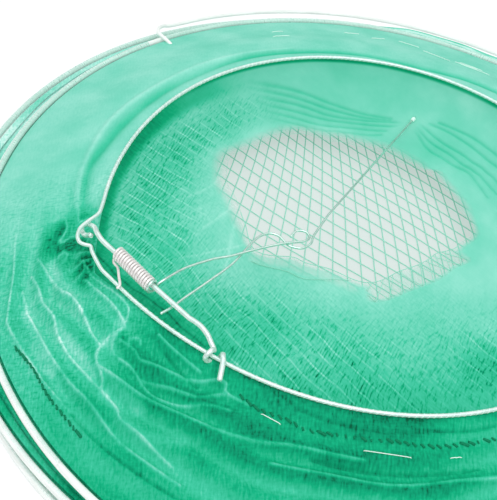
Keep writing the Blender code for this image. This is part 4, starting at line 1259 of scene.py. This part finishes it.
def make_mouth_hem():
    """Sheer net over the mouth ring, with the thread wound round it, between the pocket and the rod."""
    half = (ROD_WRAP_REACH + ROD_WIRE / 2 + 5 * TOUCH_GAP) / mouth_radius(WRAP_ANGLE)
    past_pocket = MOUTH_CORNER_AT + POCKET_TO + math.radians(4)
    before_pocket = MOUTH_CORNER_AT + POCKET_FROM - math.radians(4) + 2 * math.pi
    turns = np.radians(np.linspace(-200, 20, 12))[:, None]
    radius = SHOWN_MOUTH_WIRE / 2 + BINDING_OVER_WIRE
    reach = SHOWN_MOUTH_WIRE / 2 + 0.03 * MM
    for name, start, end, node in (
        ("mouth_binding", WRAP_ANGLE + half, before_pocket, "mouth_hem"),
        ("mouth_binding_by_spring", past_pocket, WRAP_ANGLE - half, "mouth_hem_by_spring"),
    ):
        angles = np.linspace(start, end, int((end - start) * MOUTH_RING_MEAN / 0.3))
        ring = on_mouth_ring(angles)
        shape = Shape()
        add_cloth(shape, about(ring, angles, -radius * np.cos(turns), radius * np.sin(turns)),
                  spread(angles * MOUTH_RING_MEAN, turns), 0.0, sheer=0.88, grain=0.2)
        settle(shape.build(name, FINE_NET), "mouth", "fine_net", node)
        coils = angles * MOUTH_RING_MEAN / BINDING_PITCH * 2 * math.pi
        path = about(ring, angles, reach * np.cos(coils), reach * np.sin(coils))
        settle(wire(name + "_thread", path, BINDING_THREAD, PALE_THREAD, 5), "mouth", "thread")


# Camera, light and ground


def make_camera(scene):
    data = bpy.data.cameras.new("photo_camera")
    data.lens = 72
    data.sensor_width = 36
    data.clip_start = 0.02
    camera = bpy.data.objects.new("photo_camera", data)
    turn = Matrix((CAMERA_RIGHT, CAMERA_UP, CAMERA_BACK)).transposed().to_4x4()
    camera.matrix_world = Matrix.Translation(CAMERA_PLACE) @ turn
    scene.collection.objects.link(camera)
    scene.camera = camera


def make_world(scene):
    """White to the camera, an even light on what is dull, and darker low down in what is bright."""
    n = Nodes(bpy.data.worlds.new("studio"))
    scene.world = n.owner
    n.tree.nodes.clear()

    def lit(colour, strength):
        return n.node("ShaderNodeBackground", {"Color": colour, "Strength": strength}).outputs[0]

    ray = n.node("ShaderNodeLightPath").outputs
    shown = n.math("MAXIMUM", ray["Is Camera Ray"], ray["Is Transmission Ray"])
    direction = n.node("ShaderNodeTexCoord").outputs["Generated"]
    height = n.node("ShaderNodeSeparateXYZ", {0: direction}).outputs[2]
    mirrored = lit((0.94, 1.0, 0.98, 1), n.ramp(height, 0.22, 0.82, 0.10, 1.15, smooth=False))
    ambient, white = lit((0.98, 1.0, 0.995, 1), 0.78), lit((1, 1, 1, 1), 1.0)
    lighting = n.node("ShaderNodeMixShader", {0: ray["Is Glossy Ray"], 1: ambient, 2: mirrored})
    whole = n.node("ShaderNodeMixShader", {0: shown, 1: lighting.outputs[0], 2: white})
    n.node("ShaderNodeOutputWorld", {0: whole.outputs[0]})


def make_lamps(scene):
    aim = Vector((0, 0, 0.02))
    for name, place, size, power in (
        ("key", (0.15, -0.45, 1.3), 1.1, 7.0),
        ("fill", (-0.7, 0.5, 1.2), 1.2, 2.0),
    ):
        light = bpy.data.lights.new(name, "AREA")
        light.size = size
        light.energy = power
        lamp = bpy.data.objects.new(name, light)
        lamp.location = place
        lamp.rotation_euler = (aim - Vector(place)).to_track_quat("-Z", "Y").to_euler()
        scene.collection.objects.link(lamp)


def make_ground():
    """White ground, with a soft painted shade under the basket, where it also glows faintly mint, painted
    light that lifts the net's shadow.
    """
    n = Nodes(bpy.data.materials.new("white_ground"))
    place = n.scaled(n.node("ShaderNodeTexCoord").outputs["Object"], 1, 1, 0)
    reach = n.node("ShaderNodeVectorMath", {0: place}, operation="LENGTH").outputs["Value"]
    open_ground = n.ramp(reach, 0.185, 0.205)
    n.set(Base_Color=n.mix_colour(open_ground, (0.24, 0.28, 0.27, 1), (0.82, 0.83, 0.83, 1)), Roughness=0.8,
          Emission_Color=n.mix_colour(open_ground, (0.94, 1, 0.98, 1), (1, 1, 1, 1)),
          Emission_Strength=n.ramp(open_ground, 0, 1, 0.5, 0.18))
    shape = Shape()
    across = np.linspace(-3, 3, 13)
    grid = np.stack(np.meshgrid(across, across, [0.0], indexing="ij"), -1)[:, :, 0]
    shape.grid(grid[:, ::-1], grid[..., :2])
    shape.build("ground", n.owner)


def make_stage():
    scene = bpy.context.scene
    scene.view_settings.view_transform = "Standard"
    make_camera(scene)
    make_world(scene)
    make_lamps(scene)
    make_ground()


make_stage()
make_rings()
make_mouth_ring()
make_handle()
make_hinge()
make_nets()
make_floor_net()
make_body_hems()
make_mouth_hem()
